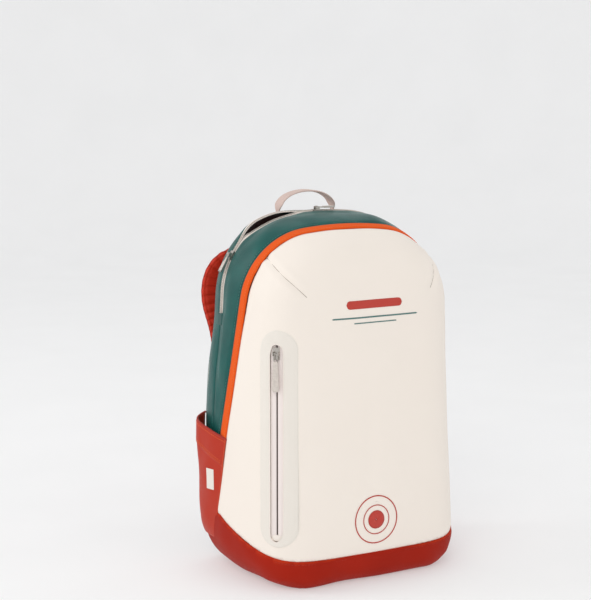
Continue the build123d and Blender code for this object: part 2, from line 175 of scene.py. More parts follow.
def mouth_share(p):
    chord = MOUTH_B - MOUTH_A
    length = np.hypot(*chord)
    mid = (MOUTH_A + MOUTH_B) / 2
    s = ((p[..., 0] - mid[0]) * chord[0] + (p[..., 2] - mid[1]) * chord[1]) / length
    return np.where(np.abs(s) < length / 2, (1 + np.cos(2 * np.pi * s / length)) / 2, 0.0)


def slot_share(p):
    return smooth((p[..., 2] - ZIP_END_Z + 5) / 12)


def band_front(p):
    return BAND_Y - BAND_LEAN * p[..., 2] - p[..., 1]


def above_seam(p):
    return p[..., 2] - seam_height(p)


def behind_band(p):
    return -band_front(p) - BAND_W


def front_lip(p):
    return ZIP_Y - 5.2 * slot_share(p) - 6.3 * mouth_share(p) - p[..., 1]


def rear_lip(p):
    return p[..., 1] - ZIP_Y - 5.2 * slot_share(p) - 26.0 * mouth_share(p)


def run_length(points):
    """How far along a path each of its points lies."""
    return np.concatenate([[0], np.cumsum(np.linalg.norm(np.diff(points, axis=0), axis=1))])


def signed_power(x, power):
    return np.sign(x) * np.abs(x) ** power


def edge_gap(a, b, a0, a1, b0, b1):
    """Distance inside a rectangle from its nearest edge."""
    return np.minimum.reduce([a - a0, a1 - a, b - b0, b1 - b])


# ------------------------------------------------------------------ mesh helpers
def make_object(name, points, faces, uv=None, shade=True):
    mesh = bpy.data.meshes.new(name)
    mesh.from_pydata([tuple(p) for p in np.asarray(points) * MM], [], [tuple(f) for f in faces])
    if uv is not None:
        layer = mesh.uv_layers.new(name="UVMap")
        loops = np.zeros(len(mesh.loops), int)
        mesh.loops.foreach_get("vertex_index", loops)
        layer.data.foreach_set("uv", (np.asarray(uv)[loops] * MM).astype(np.float32).ravel())
    mesh.validate()
    obj = bpy.data.objects.new(name, mesh)
    bpy.context.collection.objects.link(obj)
    if shade:
        mesh.shade_smooth()
    return obj


def settle(obj, material, body="bag", replaces=()):
    obj.data.materials.clear()
    obj.data.materials.append(material)
    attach(obj, body)
    if replaces:
        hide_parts(*replaces)
    return obj


def repaint(node_name, material):
    """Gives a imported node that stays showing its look."""
    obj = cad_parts[node_name]
    for s in obj.material_slots:
        s.material = material
    if not obj.material_slots:
        obj.data.materials.append(material)


def thicken(obj, mm):
    """Thickness under a cloth's face."""
    mod = obj.modifiers.new("skin", "SOLIDIFY")
    mod.thickness, mod.offset, mod.use_rim, mod.use_even_offset = mm * MM, -1.0, True, False


def grid_faces(rows, cols, wrap_cols=False, wrap_rows=False, flip=False):
    out = []
    for i in range(rows if wrap_rows else rows - 1):
        for j in range(cols if wrap_cols else cols - 1):
            i2, j2 = (i + 1) % rows, (j + 1) % cols
            f = (i * cols + j, i * cols + j2, i2 * cols + j2, i2 * cols + j)
            out.append(f[::-1] if flip else f)
    return out


def loft_faces(rows, cols, flip=False):
    """Quads round and along a closed section, with a cap on each end."""
    caps = [tuple(range(cols))[::-1], tuple((rows - 1) * cols + k for k in range(cols))]
    return grid_faces(rows, cols, wrap_cols=True, flip=flip) + ([c[::-1] for c in caps] if flip else caps)


def loft(name, rows, uv=None, flip=False, outward=True):
    """Closed body through rows of points, each row a closed section."""
    rows = np.asarray(rows, float)
    obj = make_object(name, rows.reshape(-1, 3), loft_faces(*rows.shape[:2], flip), uv)
    if outward:
        bm = bmesh.new()
        bm.from_mesh(obj.data)
        bmesh.ops.recalc_face_normals(bm, faces=bm.faces)
        bm.to_mesh(obj.data)
        bm.free()
    return obj


# grid columns on each of the five arcs of half a slice, and grid rows from back to front
COUNTS = (20, 14, 84, 48, 24)
HALF_C = np.concatenate([k + np.arange(n) / n for k, n in enumerate(COUNTS)])
ALL_C = np.concatenate([HALF_C, [5.0], 10 - HALF_C[::-1]])
ALL_V = np.linspace(0, V_END, 140)
MIDDLE = surface(ALL_C, v_for_y(20.0))
AROUND = run_length(MIDDLE)


def whole_grid():
    cc, vv = np.meshgrid(ALL_C, ALL_V)
    points = np.stack([cc.ravel(), vv.ravel()], -1)
    cols = len(ALL_C)
    faces = grid_faces(len(ALL_V), cols)
    last = (len(ALL_V) - 1) * cols
    for j in range(cols // 2):
        k = cols - 1 - j
        if k - j > 1:
            faces.append((last + j, last + j + 1, last + k - 1, last + k))
    return points, faces


GRID = whole_grid()


def clip(points, faces, field):
    """Keeps the part of a mesh in (c, v) where field(point) >= 0, with clean cut edges."""
    points = points.copy()
    value = field(surface(points[:, 0], points[:, 1]))
    edges = {}
    for f in faces:
        for a, b in zip(f, f[1:] + f[:1]):
            if (value[a] > 0) != (value[b] > 0):
                edges[(min(a, b), max(a, b))] = None
    pairs = np.array(list(edges) or [(0, 0)])
    va, vb = value[pairs[:, 0]], value[pairs[:, 1]]
    t = va / np.where(va == vb, 1, va - vb)
    far = np.abs(points[pairs[:, 0], 0] - points[pairs[:, 1], 0]) > 2
    for share, col in ((t < 0.2, 0), (t > 0.8, 1)):
        pick = share & ~far & (va != vb)
        here = points[pairs[pick, 0]] * (1 - t[pick, None]) + points[pairs[pick, 1]] * t[pick, None]
        points[pairs[pick, col]] = here
        value[pairs[pick, col]] = 0.0
    value[np.abs(value) < 1e-7] = 0.0
    new_points, new_value, made, kept = list(points), list(value), {}, []
    inside = value >= 0
    for f in faces:
        ins = [inside[i] for i in f]
        if all(ins):
            if any(value[i] > 0 for i in f):
                kept.append(f)
            continue
        if not any(value[i] > 0 for i in f):
            continue
        poly = []
        for a, b in zip(f, f[1:] + f[:1]):
            if inside[a]:
                poly.append(a)
            if (value[a] > 0 > value[b]) or (value[a] < 0 < value[b]):
                key = (min(a, b), max(a, b))
                if key not in made:
                    lo, hi = new_points[key[0]], new_points[key[1]]
                    t0, t1, f0 = 0.0, 1.0, value[key[0]]
                    f1 = value[key[1]]
                    for _ in range(4):
                        tm = t0 + (t1 - t0) * f0 / (f0 - f1)
                        pm = lo * (1 - tm) + hi * tm
                        fm = float(field(surface(pm[0], pm[1])))
                        if abs(fm) < 1e-4:
                            break
                        if (fm > 0) == (f0 > 0):
                            t0, f0 = tm, fm
                        else:
                            t1, f1 = tm, fm
                    made[key] = len(new_points)
                    new_points.append(pm)
                    new_value.append(0.0)
                poly.append(made[key])
        if len(poly) > 2:
            kept.append(tuple(poly))
    used = sorted({i for f in kept for i in f})
    index = {old: new for new, old in enumerate(used)}
    return (np.array([new_points[i] for i in used]),
            [tuple(index[i] for i in f) for f in kept])


def panel(name, fields, lift=0.0, rolls=(), shape=None, thick=2.2):
    """Cloth panel cut from the bag's face. rolls: (field, depth, reach) turns an edge down."""
    points, faces = GRID
    for field in fields:
        points, faces = clip(points, faces, field)
    c, v = points[:, 0], points[:, 1]
    p, n = surface(c, v), normals(c, v)
    out = np.full(len(p), float(lift))
    for field, depth, reach in rolls:
        out -= depth * (1 - smooth(field(p) / reach)) ** 2
    if shape is not None:
        out += shape(p)
    p = p + n * out[:, None]
    p[:, 2] = np.maximum(p[:, 2], 0.0)
    uv = np.stack([np.interp(c, ALL_C, AROUND), v], -1)
    obj = make_object(name, p, faces, uv)
    bm = bmesh.new()
    bm.from_mesh(obj.data)
    bmesh.ops.remove_doubles(bm, verts=bm.verts, dist=2e-5)
    bmesh.ops.recalc_face_normals(bm, faces=bm.faces)
    centre = Vector((0, 0, 0.23))
    total = sum((f.normal.dot(f.calc_center_median() - centre) * f.calc_area() for f in bm.faces), 0.0)
    if total < 0:
        bmesh.ops.reverse_faces(bm, faces=bm.faces)
    bm.to_mesh(obj.data)
    bm.free()
    obj.data.shade_smooth()
    if thick:
        thicken(obj, thick)
    return obj


def noise_field(seed, size, count=24):
    """Smooth wandering field of about unit height, features size mm across."""
    rng = np.random.default_rng(seed)
    waves = rng.normal(size=(count, 3)) / size
    phase = rng.uniform(0, 2 * np.pi, count)
    return lambda p: np.sin(p @ waves.T * 2.2 + phase).sum(-1) / math.sqrt(count) * 1.2


def ridge(p, a, b, width, height):
    """Height of a soft fold that runs from a to b."""
    a, b = np.array(a, float), np.array(b, float)
    t = np.clip(((p - a) @ (b - a)) / ((b - a) @ (b - a)), 0, 1)
    d = np.linalg.norm(p - (a + t[..., None] * (b - a)), axis=-1)
    return height * np.exp(-(d / width) ** 2) * np.sin(np.pi * np.clip(t * 0.9 + 0.05, 0, 1)) ** 0.5


# ------------------------------------------------------------------ stitches, tubes, strips
def resample(path, step):
    path = np.asarray(path, float)
    s = run_length(path)
    n = max(int(s[-1] / step), 2)
    t = np.linspace(0, s[-1], n + 1)
    return np.stack([np.interp(t, s, path[:, k]) for k in range(path.shape[1])], -1), s[-1]


def stitches(name, rows, material, length=2.6, gap=1.6, radius=0.32, body="bag", slot=None):
    """Short thread loops along rows of points; each row has points and outward normals, in mm."""
    points, faces = [], []
    ring = 6
    prof = [(-0.5, 0.15), (-0.38, 0.8), (0.0, 1.0), (0.38, 0.8), (0.5, 0.15)]
    for path in rows:
        path, total = resample(path, length + gap)
        for a, b in zip(path[:-1], path[1:]):
            run = b[:3] - a[:3]
            size = np.linalg.norm(run)
            if size < 1e-6 or size > 3 * (length + gap):
                continue
            run = run / size
            up = a[3:6] / max(np.linalg.norm(a[3:6]), 1e-9)
            side = np.cross(run, up)
            side /= max(np.linalg.norm(side), 1e-9)
            mid = (a[:3] + b[:3]) / 2
            first = len(points)
            for t, r in prof:
                for k in range(ring):
                    w = 2 * np.pi * k / ring
                    points.append(mid + run * t * length + side * math.cos(w) * radius * r * 1.2
                                  + up * (math.sin(w) * radius * r + radius * 0.35 * (1 - (2 * t) ** 2)))
            for i in range(len(prof) - 1):
                for k in range(ring):
                    k2 = (k + 1) % ring
                    faces.append((first + i * ring + k, first + i * ring + k2,
                                  first + (i + 1) * ring + k2, first + (i + 1) * ring + k))
            faces.append(tuple(first + k for k in range(ring))[::-1])
            faces.append(tuple(first + (len(prof) - 1) * ring + k for k in range(ring)))
    obj = make_object(name, points, faces)
    return settle(obj, material, body)


def tube(name, path, radius, ring=10, squash=1.0, closed=False):
    """Round or oval cord along rows of point and normal."""
    path = np.asarray(path, float)
    run = np.gradient(path[:, :3], axis=0)
    if closed:
        run = np.roll(path[:, :3], -1, 0) - np.roll(path[:, :3], 1, 0)
    run /= np.linalg.norm(run, axis=1, keepdims=True)
    up = path[:, 3:6] / np.linalg.norm(path[:, 3:6], axis=1, keepdims=True)
    side = np.cross(run, up)
    side /= np.linalg.norm(side, axis=1, keepdims=True)
    w = 2 * np.pi * np.arange(ring) / ring
    pts = (path[:, None, :3] + side[:, None] * (np.cos(w) * radius)[None, :, None]
           + up[:, None] * (np.sin(w) * radius * squash)[None, :, None])
    faces = grid_faces(len(path), ring, True, True) if closed else loft_faces(len(path), ring)
    uv = np.stack([np.tile(w * radius, len(path)),
                   np.repeat(np.arange(len(path)) * 2.0, ring)], -1)
    return make_object(name, pts.reshape(-1, 3), faces, uv)


def strip(name, rows, flip=False):
    """Surface through rows of points, each row as long as the next."""
    rows = np.asarray(rows, float)
    du = np.linalg.norm(np.diff(rows, axis=1), axis=2).mean(0)
    dv = np.linalg.norm(np.diff(rows, axis=0), axis=2).mean(1)
    uu, vv = np.meshgrid(np.concatenate([[0], np.cumsum(du)]), np.concatenate([[0], np.cumsum(dv)]))
    uv = np.stack([uu.ravel(), vv.ravel()], -1)
    return make_object(name, rows.reshape(-1, 3), grid_faces(*rows.shape[:2], flip=flip), uv)


def face_patch(name, axes, first, second, c, v, lift, flip, rounds=12):
    """Patch on the bag's face over a grid of values of two of its axes."""
    cc, vv = solve(lambda p: p[..., axes], np.stack([first.ravel(), second.ravel()], -1),
                   np.full(first.size, c), np.full(first.size, v), rounds)
    points = surface(cc, vv) + normals(cc, vv) * lift.ravel()[:, None]
    return strip(name, points.reshape(first.shape + (3,)), flip=flip)


def level_path(field_y, c_from, c_to, lift, count=260):
    """Points with normals along the bag where y follows field_y(point), between two values of c."""
    c = np.linspace(c_from, c_to, count)
    v = v_for_y(np.full(count, 60.0))
    for _ in range(6):
        v = v_for_y(field_y(surface(c, v)))
    n = normals(c, v)
    return np.hstack([surface(c, v) + n * lift, n])


def c_at_height(z, right, y=60.0):
    c = np.linspace(2, 5, 4000)
    zz = surface(c, v_for_y(y))[:, 2]
    found = float(np.interp(z, zz, c))
    return found if right else 10 - found


# ------------------------------------------------------------------ materials
def srgb(r, g, b):
    return tuple(((x / 255 + 0.055) / 1.055) ** 2.4 if x > 10 else x / 255 / 12.92 for x in (r, g, b)) + (1,)


def new_material(name, rough=0.8, sheen=0.0, specular=0.4, metallic=0.0):
    mat = bpy.data.materials.new(name)
    mat.use_nodes = True
    tree = mat.node_tree
    shader = tree.nodes["Principled BSDF"]
    shader.inputs["Roughness"].default_value = rough
    shader.inputs["Metallic"].default_value = metallic
    shader.inputs["Specular IOR Level"].default_value = specular
    shader.inputs["Sheen Weight"].default_value = sheen
    shader.inputs["Sheen Roughness"].default_value = 0.5
    return mat, tree, shader


def node(tree, kind, feeds=None, **values):
    """A node with its settings, and feeds: what each input takes, a value or another node's output."""
    made = tree.nodes.new(kind)
    for key, value in values.items():
        setattr(made, key, value)
    for key, source in (feeds or {}).items():
        if isinstance(source, bpy.types.NodeSocket):
            tree.links.new(source, made.inputs[key])
        else:
            made.inputs[key].default_value = source
    return made


def maths(tree, operation, *terms, clamp=False):
    return node(tree, "ShaderNodeMath", dict(enumerate(terms)), operation=operation,
                use_clamp=clamp).outputs[0]


def blend(tree, share, colour, other):
    return node(tree, "ShaderNodeMix", {0: share, 6: colour, 7: other}, data_type="RGBA").outputs[2]


def spread(tree, value, low, high):
    return node(tree, "ShaderNodeMapRange", {"Value": value, "To Min": low, "To Max": high}).outputs[0]


def bump(tree, height, strength, distance, shader):
    made = node(tree, "ShaderNodeBump", {"Height": height, "Strength": strength, "Distance": distance})
    tree.links.new(made.outputs[0], shader.inputs["Normal"])


def cloth(name, colour, shade, period=0.9, weave=0.5, rough=0.8, sheen=0.15, grain=0.25, edge_highlight=None,
          uv=True, twill=False, specular=0.4, blotch=9.0):
    """Woven cloth: two sets of threads, a slow colour drift, fibre noise, and a painted highlight: paler on
    convex edges.
    """
    mat, tree, shader = new_material(name, rough, sheen, specular)
    coord = node(tree, "ShaderNodeTexCoord")
    place = coord.outputs["Object"]
    turn = node(tree, "ShaderNodeMapping", {"Vector": coord.outputs["UV"] if uv else place,
                                            "Rotation": (0, 0, math.radians(38 if twill else 0))})
    threads = {"Vector": turn.outputs[0], "Scale": 0.314 / (period * MM), "Distortion": 0.6}
    warp, weft = (node(tree, "ShaderNodeTexWave", threads, wave_type="BANDS",
                       bands_direction=way).outputs["Fac"] for way in "XY")
    both = maths(tree, "MULTIPLY", warp, weft)
    drift = node(tree, "ShaderNodeTexNoise", {"Vector": place, "Scale": blotch, "Detail": 3.0,
                                              "Roughness": 0.6}).outputs["Fac"]
    fibre = node(tree, "ShaderNodeTexNoise", {"Vector": place, "Scale": 900.0, "Detail": 2.0}).outputs["Fac"]
    mixer = maths(tree, "MULTIPLY_ADD", both, -weave * 0.5, 0.18 + weave * 0.25)
    tone = blend(tree, maths(tree, "MULTIPLY_ADD", drift, grain, mixer, clamp=True),
                 srgb(*colour), srgb(*shade))
    # painted highlight: a paler colour mixed in where the surface is convex, on edges and ridges that catch
    # the light
    if edge_highlight:
        corner = node(tree, "ShaderNodeNewGeometry").outputs["Pointiness"]
        edge_highlight_share = node(tree, "ShaderNodeMapRange", {"Value": corner, "From Min": 0.52, "From Max": 0.62})
        tone = blend(tree, edge_highlight_share.outputs[0], tone, srgb(*edge_highlight))
    tree.links.new(tone, shader.inputs["Base Color"])
    tree.links.new(spread(tree, drift, max(rough - 0.12, 0.1), min(rough + 0.12, 1.0)),
                   shader.inputs["Roughness"])
    bump(tree, maths(tree, "MULTIPLY_ADD", fibre, 0.35, both), min(0.25 + weave * 0.4, 1.0),
         period * 0.00022, shader)
    return mat


def moulded(name, colour, rough=0.4, metallic=0.0, specular=0.5):
    """Moulded plastic or plated metal with fine scratches and a slightly uneven gloss."""
    mat, tree, shader = new_material(name, rough, 0.0, specular, metallic)
    place = node(tree, "ShaderNodeTexCoord").outputs["Object"]
    marks = node(tree, "ShaderNodeTexNoise", {"Vector": place, "Scale": 420.0, "Detail": 4.0,
                                              "Roughness": 0.7}).outputs["Fac"]
    tree.links.new(blend(tree, marks, srgb(*colour), srgb(*[c * 0.72 for c in colour])),
                   shader.inputs["Base Color"])
    tree.links.new(spread(tree, marks, rough * 0.7, rough * 1.35), shader.inputs["Roughness"])
    bump(tree, marks, 0.3, 0.00008, shader)
    return mat


def thread(name, colour, shade):
    return cloth(name, colour, shade, period=0.4, weave=0.6, uv=False)


CREAM = cloth("cream_cloth", (250, 242, 232), (242, 231, 221), period=0.8, weave=0.25, rough=0.58,
              sheen=0.02, grain=0.35, specular=0.3)
# darker cream for the dart lines: partly the seam itself, partly painted shade of a crease too narrow for the
# mesh
DART_SEAM_AND_SHADE = cloth("dart_seam_and_painted_shade", (176, 164, 152), (150, 138, 128), period=0.8, weave=0.3, rough=0.8)
TEAL = cloth("teal_satin", (30, 108, 101), (8, 66, 63), period=0.7, weave=0.3, rough=0.36, sheen=0.0,
             grain=0.8, twill=True, specular=0.28, blotch=26.0)
ORANGE = cloth("orange_band", (246, 104, 30), (224, 74, 14), period=1.5, weave=0.8, rough=0.8, grain=0.3,
               sheen=0.02, specular=0.2)
# the colour for convex edges and ridges is a painted highlight
RED = cloth("red_cloth", (186, 36, 5), (136, 18, 2), period=0.8, weave=0.35, rough=0.55, sheen=0.0,
            grain=0.6, specular=0.14, edge_highlight=(204, 58, 20))
# the colour for convex edges, paler and pinker, is a painted satin highlight
POCKET_RED = cloth("pocket_cloth", (200, 54, 20), (166, 32, 9), period=0.8, weave=0.35, rough=0.45,
                   sheen=0.03, grain=0.6, specular=0.28, edge_highlight=(220, 92, 60))
RED_PAD = cloth("red_quilt", (226, 54, 16), (186, 32, 8), period=0.9, weave=0.4, rough=0.6, sheen=0.02,
                grain=0.5, uv=False)
TAPE = cloth("zip_tape_cloth", (252, 244, 236), (236, 224, 214), period=1.1, weave=0.7, rough=0.8)
TEETH = moulded("zip_teeth_nylon", (236, 226, 216), rough=0.38)
FILM = cloth("trim_film", (248, 241, 232), (228, 222, 212), period=1.5, weave=1.0, rough=0.5, grain=0.3,
             twill=True, specular=0.5)
FLAP = cloth("flap_film", (248, 238, 234), (234, 222, 218), period=0.8, weave=0.2, rough=0.5, grain=0.4)
WEB = cloth("handle_web", (226, 203, 194), (196, 168, 158), period=1.3, weave=0.9, rough=0.85)
RED_WEB = cloth("red_web", (186, 46, 26), (140, 28, 14), period=1.4, weave=0.9, rough=0.8)
DARK_MESH = cloth("spacer_mesh", (62, 64, 68), (26, 28, 31), period=2.6, weave=1.0, rough=0.9, grain=0.3,
                  uv=False)
# lining colour; it also colours the dark sheet under the front window, where it is painted shade
LINING_AND_SHADE_SHEET = cloth("lining_cloth_and_shade_sheet", (86, 26, 18), (48, 14, 10), period=0.8, weave=0.4, rough=0.8)
BINDING = cloth("binding_cloth", (40, 104, 98), (22, 74, 70), period=1.0, weave=0.7, rough=0.7)
THREAD_CREAM = thread("thread_cream", (236, 226, 212), (214, 200, 184))
THREAD_GREY = thread("thread_grey", (206, 200, 192), (176, 170, 162))
THREAD_ORANGE = thread("thread_orange", (246, 132, 66), (224, 96, 38))
THREAD_RED = thread("thread_red", (186, 44, 24), (150, 30, 16))
THREAD_TEAL = thread("thread_teal", (96, 158, 150), (62, 120, 112))
THREAD_DARK = thread("thread_dark", (40, 42, 44), (24, 25, 27))
PRINT_RED = cloth("print_red", (196, 62, 48), (178, 48, 38), period=0.8, weave=0.2, rough=0.5, grain=0.3)
PRINT_TEAL = cloth("print_teal", (92, 128, 124), (76, 112, 108), period=0.8, weave=0.2, rough=0.5)
# zip coil: dark taupe as painted shade of the gap between the front pocket's flaps
COIL_GAP_SHADE = moulded("zip_coil_painted_shade", (120, 104, 96), rough=0.5)
NICKEL = moulded("satin_nickel", (214, 208, 200), rough=0.3, metallic=1.0)
CREAM_TAB = moulded("cream_rubber", (240, 230, 220), rough=0.55, specular=0.35)
TEAL_TAB = cloth("teal_tab", (44, 92, 88), (26, 66, 62), period=1.0, weave=0.7, rough=0.8)
BLACK_NYLON = moulded("black_nylon", (34, 34, 36), rough=0.42)
BOARD = moulded("base_board_plastic", (40, 40, 42), rough=0.6)


# ------------------------------------------------------------------ bag panels
soft_dent = noise_field(3, 95)
small_dent = noise_field(11, 34)
DARTS = []
for start, end in (((-123, -12, 440), (-95, -78, 391)), ((119, -30, 436), (96, -78, 391))):
    grid_at = surface(GRID[0][:, 0], GRID[0][:, 1])
    ends = [GRID[0][np.argmin(np.linalg.norm(grid_at - np.array(p), axis=1))] for p in (start, end)]
    DARTS.append([ends[0] * (1 - t) + ends[1] * t for t in np.linspace(0, 1, 90)])


def front_shape(p):
    """Soft dents, and the two darts that shape the top corners: a crease that fades at both ends."""
    out = 0.55 * soft_dent(p) + 0.18 * small_dent(p)
    for dart in DARTS:
        line = surface(np.array(dart)[:, 0], np.array(dart)[:, 1])
        gap = np.linalg.norm(p[..., None, :] - line, axis=-1)
        near = gap.min(-1)
        t = gap.argmin(-1) / 89.0
        along = smooth(t / 0.1 + 0.4) * smooth((1.02 - t) / 0.25 + 0.1)
        out = out - 1.6 * np.exp(-(near / 3.2) ** 2) * along
        out = out + 1.1 * np.exp(-((near - 9.0) / 5.5) ** 2) * along
        out = out - 1.0 * np.exp(-(gap[..., -1] / 7.0) ** 2)
    return out


def gusset_shape(p):
    inner = smooth((front_lip(p) - 1) / 16)
    low = 1 + 0.7 * smooth((330 - p[..., 2]) / 60)
    return (low * 0.8 * small_dent(p) + 0.5 * soft_dent(p)) * inner + 1.3 * np.sin(
        np.pi * np.clip(behind_band(p) / 48.0, 0, 1)) * inner


def boot_shape(p):
    out = 0.4 * soft_dent(p) + 0.45 * small_dent(p)
    for sx in (-1, 1):
        out += ridge(p, (sx * 150, -30, 4), (sx * 120, -86, 22), 7, 1.6)
        out += ridge(p, (sx * 158, 0, 66), (sx * 146, -52, 34), 10, 1.1)
    return out


# a darker cream tube lies in each dart: partly its seam line, partly painted shade of the crease
for number, dart in enumerate(DARTS):
    dart = np.array(dart)[2:]
    at, away = surface(dart[:, 0], dart[:, 1]), normals(dart[:, 0], dart[:, 1])
    path = at + away * (front_shape(at)[:, None] + 0.02)
    crease = tube(f"Front_dart_{number + 1}", np.hstack([path, away]), 0.42, ring=8, squash=0.6)
    settle(crease, DART_SEAM_AND_SHADE)

F_O = np.array([-133.45, -67.45, 199.3])
F_V = np.array([0.02289, 0.04385, 0.99878])
F_S = np.array([0.6903, -0.7232, 0.0160])
F_N = np.array([-0.72302, -0.68909, 0.04682])


def outside_window(p):
    """Distance from the front pocket's window, a rounded slot in its own plane."""
    q = p - F_O
    s, v = np.abs(q @ F_S), np.abs(q @ F_V + 0.5) - 122.1
    gap = np.hypot(s, np.maximum(v, 0)) - 9.4
    return np.where(q @ F_N > -40, gap, 60.0)


front = panel("Front_panel_cloth", [band_front, above_seam, outside_window], 0.0,
              [(band_front, 1.7, 7), (above_seam, 1.5, 7)], front_shape)
settle(front, CREAM, replaces=["front_panel"])

band = panel("Band_webbing", [lambda p: -band_front(p) + 0.3, lambda p: -behind_band(p),
                              lambda p: p[..., 2] - 176],
             0.9, [(lambda p: -band_front(p), 0.9, 3), (lambda p: -behind_band(p), 0.9, 3)], thick=2.6)
settle(band, ORANGE, replaces=["front_band"])

gusset = panel("Gusset_front_satin", [behind_band, above_seam, front_lip], 0.1,
               [(behind_band, 2.2, 8), (front_lip, 0.9, 6), (above_seam, 1.0, 6)], gusset_shape)
settle(gusset, TEAL, replaces=["front_gusset"])


def behind_gusset(p):
    return BINDING_Y + 0.2 - p[..., 1]


rear = panel("Gusset_rear_satin", [rear_lip, above_seam, behind_gusset], 0.1,
             [(rear_lip, 0.9, 5), (behind_gusset, 1.2, 5)],
             lambda p: 0.5 * small_dent(p) * smooth((rear_lip(p) - 1) / 14))
settle(rear, TEAL, replaces=["rear_gusset"])

boot = panel("Boot_panel", [lambda p: -above_seam(p) + 0.2, behind_gusset], 0.5,
             [(lambda p: -above_seam(p), 1.3, 5), (behind_gusset, 1.2, 5)], boot_shape)
settle(boot, RED, replaces=["base_boot"])

# rear binding: a rolled edge round the back, with a pale cord along its front side
ring_c = np.linspace(0, 10, 520, endpoint=False)
ring_v = np.full_like(ring_c, v_for_y(105.4))
ring_n = normals(ring_c, ring_v)
rim_path = np.hstack([surface(ring_c, ring_v) + ring_n * 0.1, ring_n])
rim = tube("Rear_binding_roll", rim_path, 3.1, ring=12, closed=True)
settle(rim, BINDING, replaces=["rear_binding"])
cord_v = np.full_like(ring_c, v_for_y(102.6))
cord_n = normals(ring_c, cord_v)
cord_path = np.hstack([surface(ring_c, cord_v) + cord_n * 0.35, cord_n])
piping = tube("Rear_piping", cord_path, 0.95, ring=8, closed=True)
settle(piping, TAPE)

# back panel: spacer mesh, slightly crowned, inside the rolled edge
rows = []
for t in np.linspace(0, 1, 46):
    k = 1 - t
    edge = surface(ALL_C, np.zeros_like(ALL_C)) * [1, 0, 1]
    mid = np.array([0, 0, 244.0])
    pts = mid + (edge - mid) * (0.993 * (1 - k) + 0.002)
    pts[:, 1] = BACK_Y - 0.9 * t ** 6 - 0.4
    rows.append(pts)
back = strip("Back_panel_mesh", rows)
thicken(back, 2.0)
settle(back, DARK_MESH, replaces=["back_panel"])


# lining: closes the bag inside the skin, with the mouth left open
def outside_mouth(p):
    share = mouth_share(p)
    return np.where(share > 0.0, np.maximum(ZIP_Y - 4 - p[..., 1], p[..., 1] - ZIP_Y - 4 - 19 * share), 5.0)


lining = panel("Lining_cloth", [lambda p: 101.5 - p[..., 1], outside_mouth], -6.0, (),
               lambda p: 0.5 * small_dent(p), thick=0.0)
settle(lining, LINING_AND_SHADE_SHEET, replaces=["front_pocket_bag"])

# ------------------------------------------------------------------ main zip
TAPE_W = 12.0
front_edge = lambda p: ZIP_Y - 0.8 - 5.5 * mouth_share(p)
rear_edge = lambda p: ZIP_Y + 0.8 + 18.0 * mouth_share(p)
in_reach = lambda p: p[..., 2] - ZIP_END_Z + 3


def rear_drop(p):
    """How far the rear tape hangs into the mouth below the bag's face."""
    share = mouth_share(p)
    return 0.5 * share * np.maximum(ZIP_Y + 4 + 26 * share - p[..., 1], 0)


tape_f = panel("Zip_tape_front_cloth", [lambda p: front_edge(p) - p[..., 1],
                                        lambda p: p[..., 1] - front_edge(p) + TAPE_W, in_reach],
               -1.2, (), thick=0.8)
settle(tape_f, TAPE, replaces=["zip_tape_front"])
tape_r = panel("Zip_tape_rear_cloth", [lambda p: p[..., 1] - rear_edge(p),
                                       lambda p: rear_edge(p) + TAPE_W + 4 * mouth_share(p) - p[..., 1],
                                       in_reach],
               -1.2, (), lambda p: -rear_drop(p), thick=0.8)
settle(tape_r, TAPE, replaces=["zip_tape_rear"])

C_RIGHT, C_LEFT = c_at_height(ZIP_END_Z + 1, True), c_at_height(ZIP_END_Z + 1, False)


def tooth_row(name, edge, inward, node_name, drop=None):
    """One moulded tooth after another along the edge of a tape."""
    path = level_path(lambda p: edge(p) + inward * 0.75, C_RIGHT, C_LEFT, -0.15, 700)
    if drop is not None:
        path[:, :3] -= path[:, 3:] * drop(path[:, :3])[:, None]
    path, _ = resample(path, 1.9)
    points, faces = [], []
    for k, (a, b) in enumerate(zip(path[:-1], path[1:])):
        run = (b[:3] - a[:3]) / max(np.linalg.norm(b[:3] - a[:3]), 1e-9)
        up = a[3:6] / np.linalg.norm(a[3:6])
        side = np.cross(run, up)
        if side[1] < 0:
            side = -side
        mid = (a[:3] + b[:3]) / 2 - up * 0.35
        first = len(points)
        half = 0.85
        shape = [(-0.6, -half, 0), (0.6, -half, 0), (0.6, half, 0), (-0.6, half, 0),
                 (-0.45, -half * 0.8, 1.25), (0.45, -half * 0.8, 1.25),
                 (0.45, half * 0.8, 1.25), (-0.45, half * 0.8, 1.25)]
        points += [mid + run * x + side * y + up * z for x, y, z in shape]
        faces += [tuple(first + i for i in f) for f in
                  ((3, 2, 1, 0), (4, 5, 6, 7), (0, 1, 5, 4), (1, 2, 6, 5), (2, 3, 7, 6), (3, 0, 4, 7))]
    obj = make_object(name, points, faces, shade=False)
    settle(obj, TEETH, replaces=[node_name])


tooth_row("Zip_teeth_front_row", front_edge, -1, "zip_teeth_front")
tooth_row("Zip_teeth_rear_row", rear_edge, 1, "zip_teeth_rear", rear_drop)

for right, word in ((False, "left"), (True, "right")):
    y0, y1, z0, z1 = ZIP_Y - 8, ZIP_Y + 8, ZIP_END_Z - 13, ZIP_END_Z + 4
    yy, zz = np.meshgrid(np.linspace(y0, y1, 16), np.linspace(z0, z1, 16))
    lift = 1.25 * smooth(edge_gap(yy, zz, y0, y1, z0, z1) / 2.0) ** 0.5 + 0.12
    tab = face_patch(f"Zip_end_tab_{word}", [1, 2], yy, zz, c_at_height(ZIP_END_Z, right),
                     float(v_for_y(ZIP_Y)), lift, flip=right)
    settle(tab, TEAL_TAB, replaces=[f"zip_garage_{word}"])


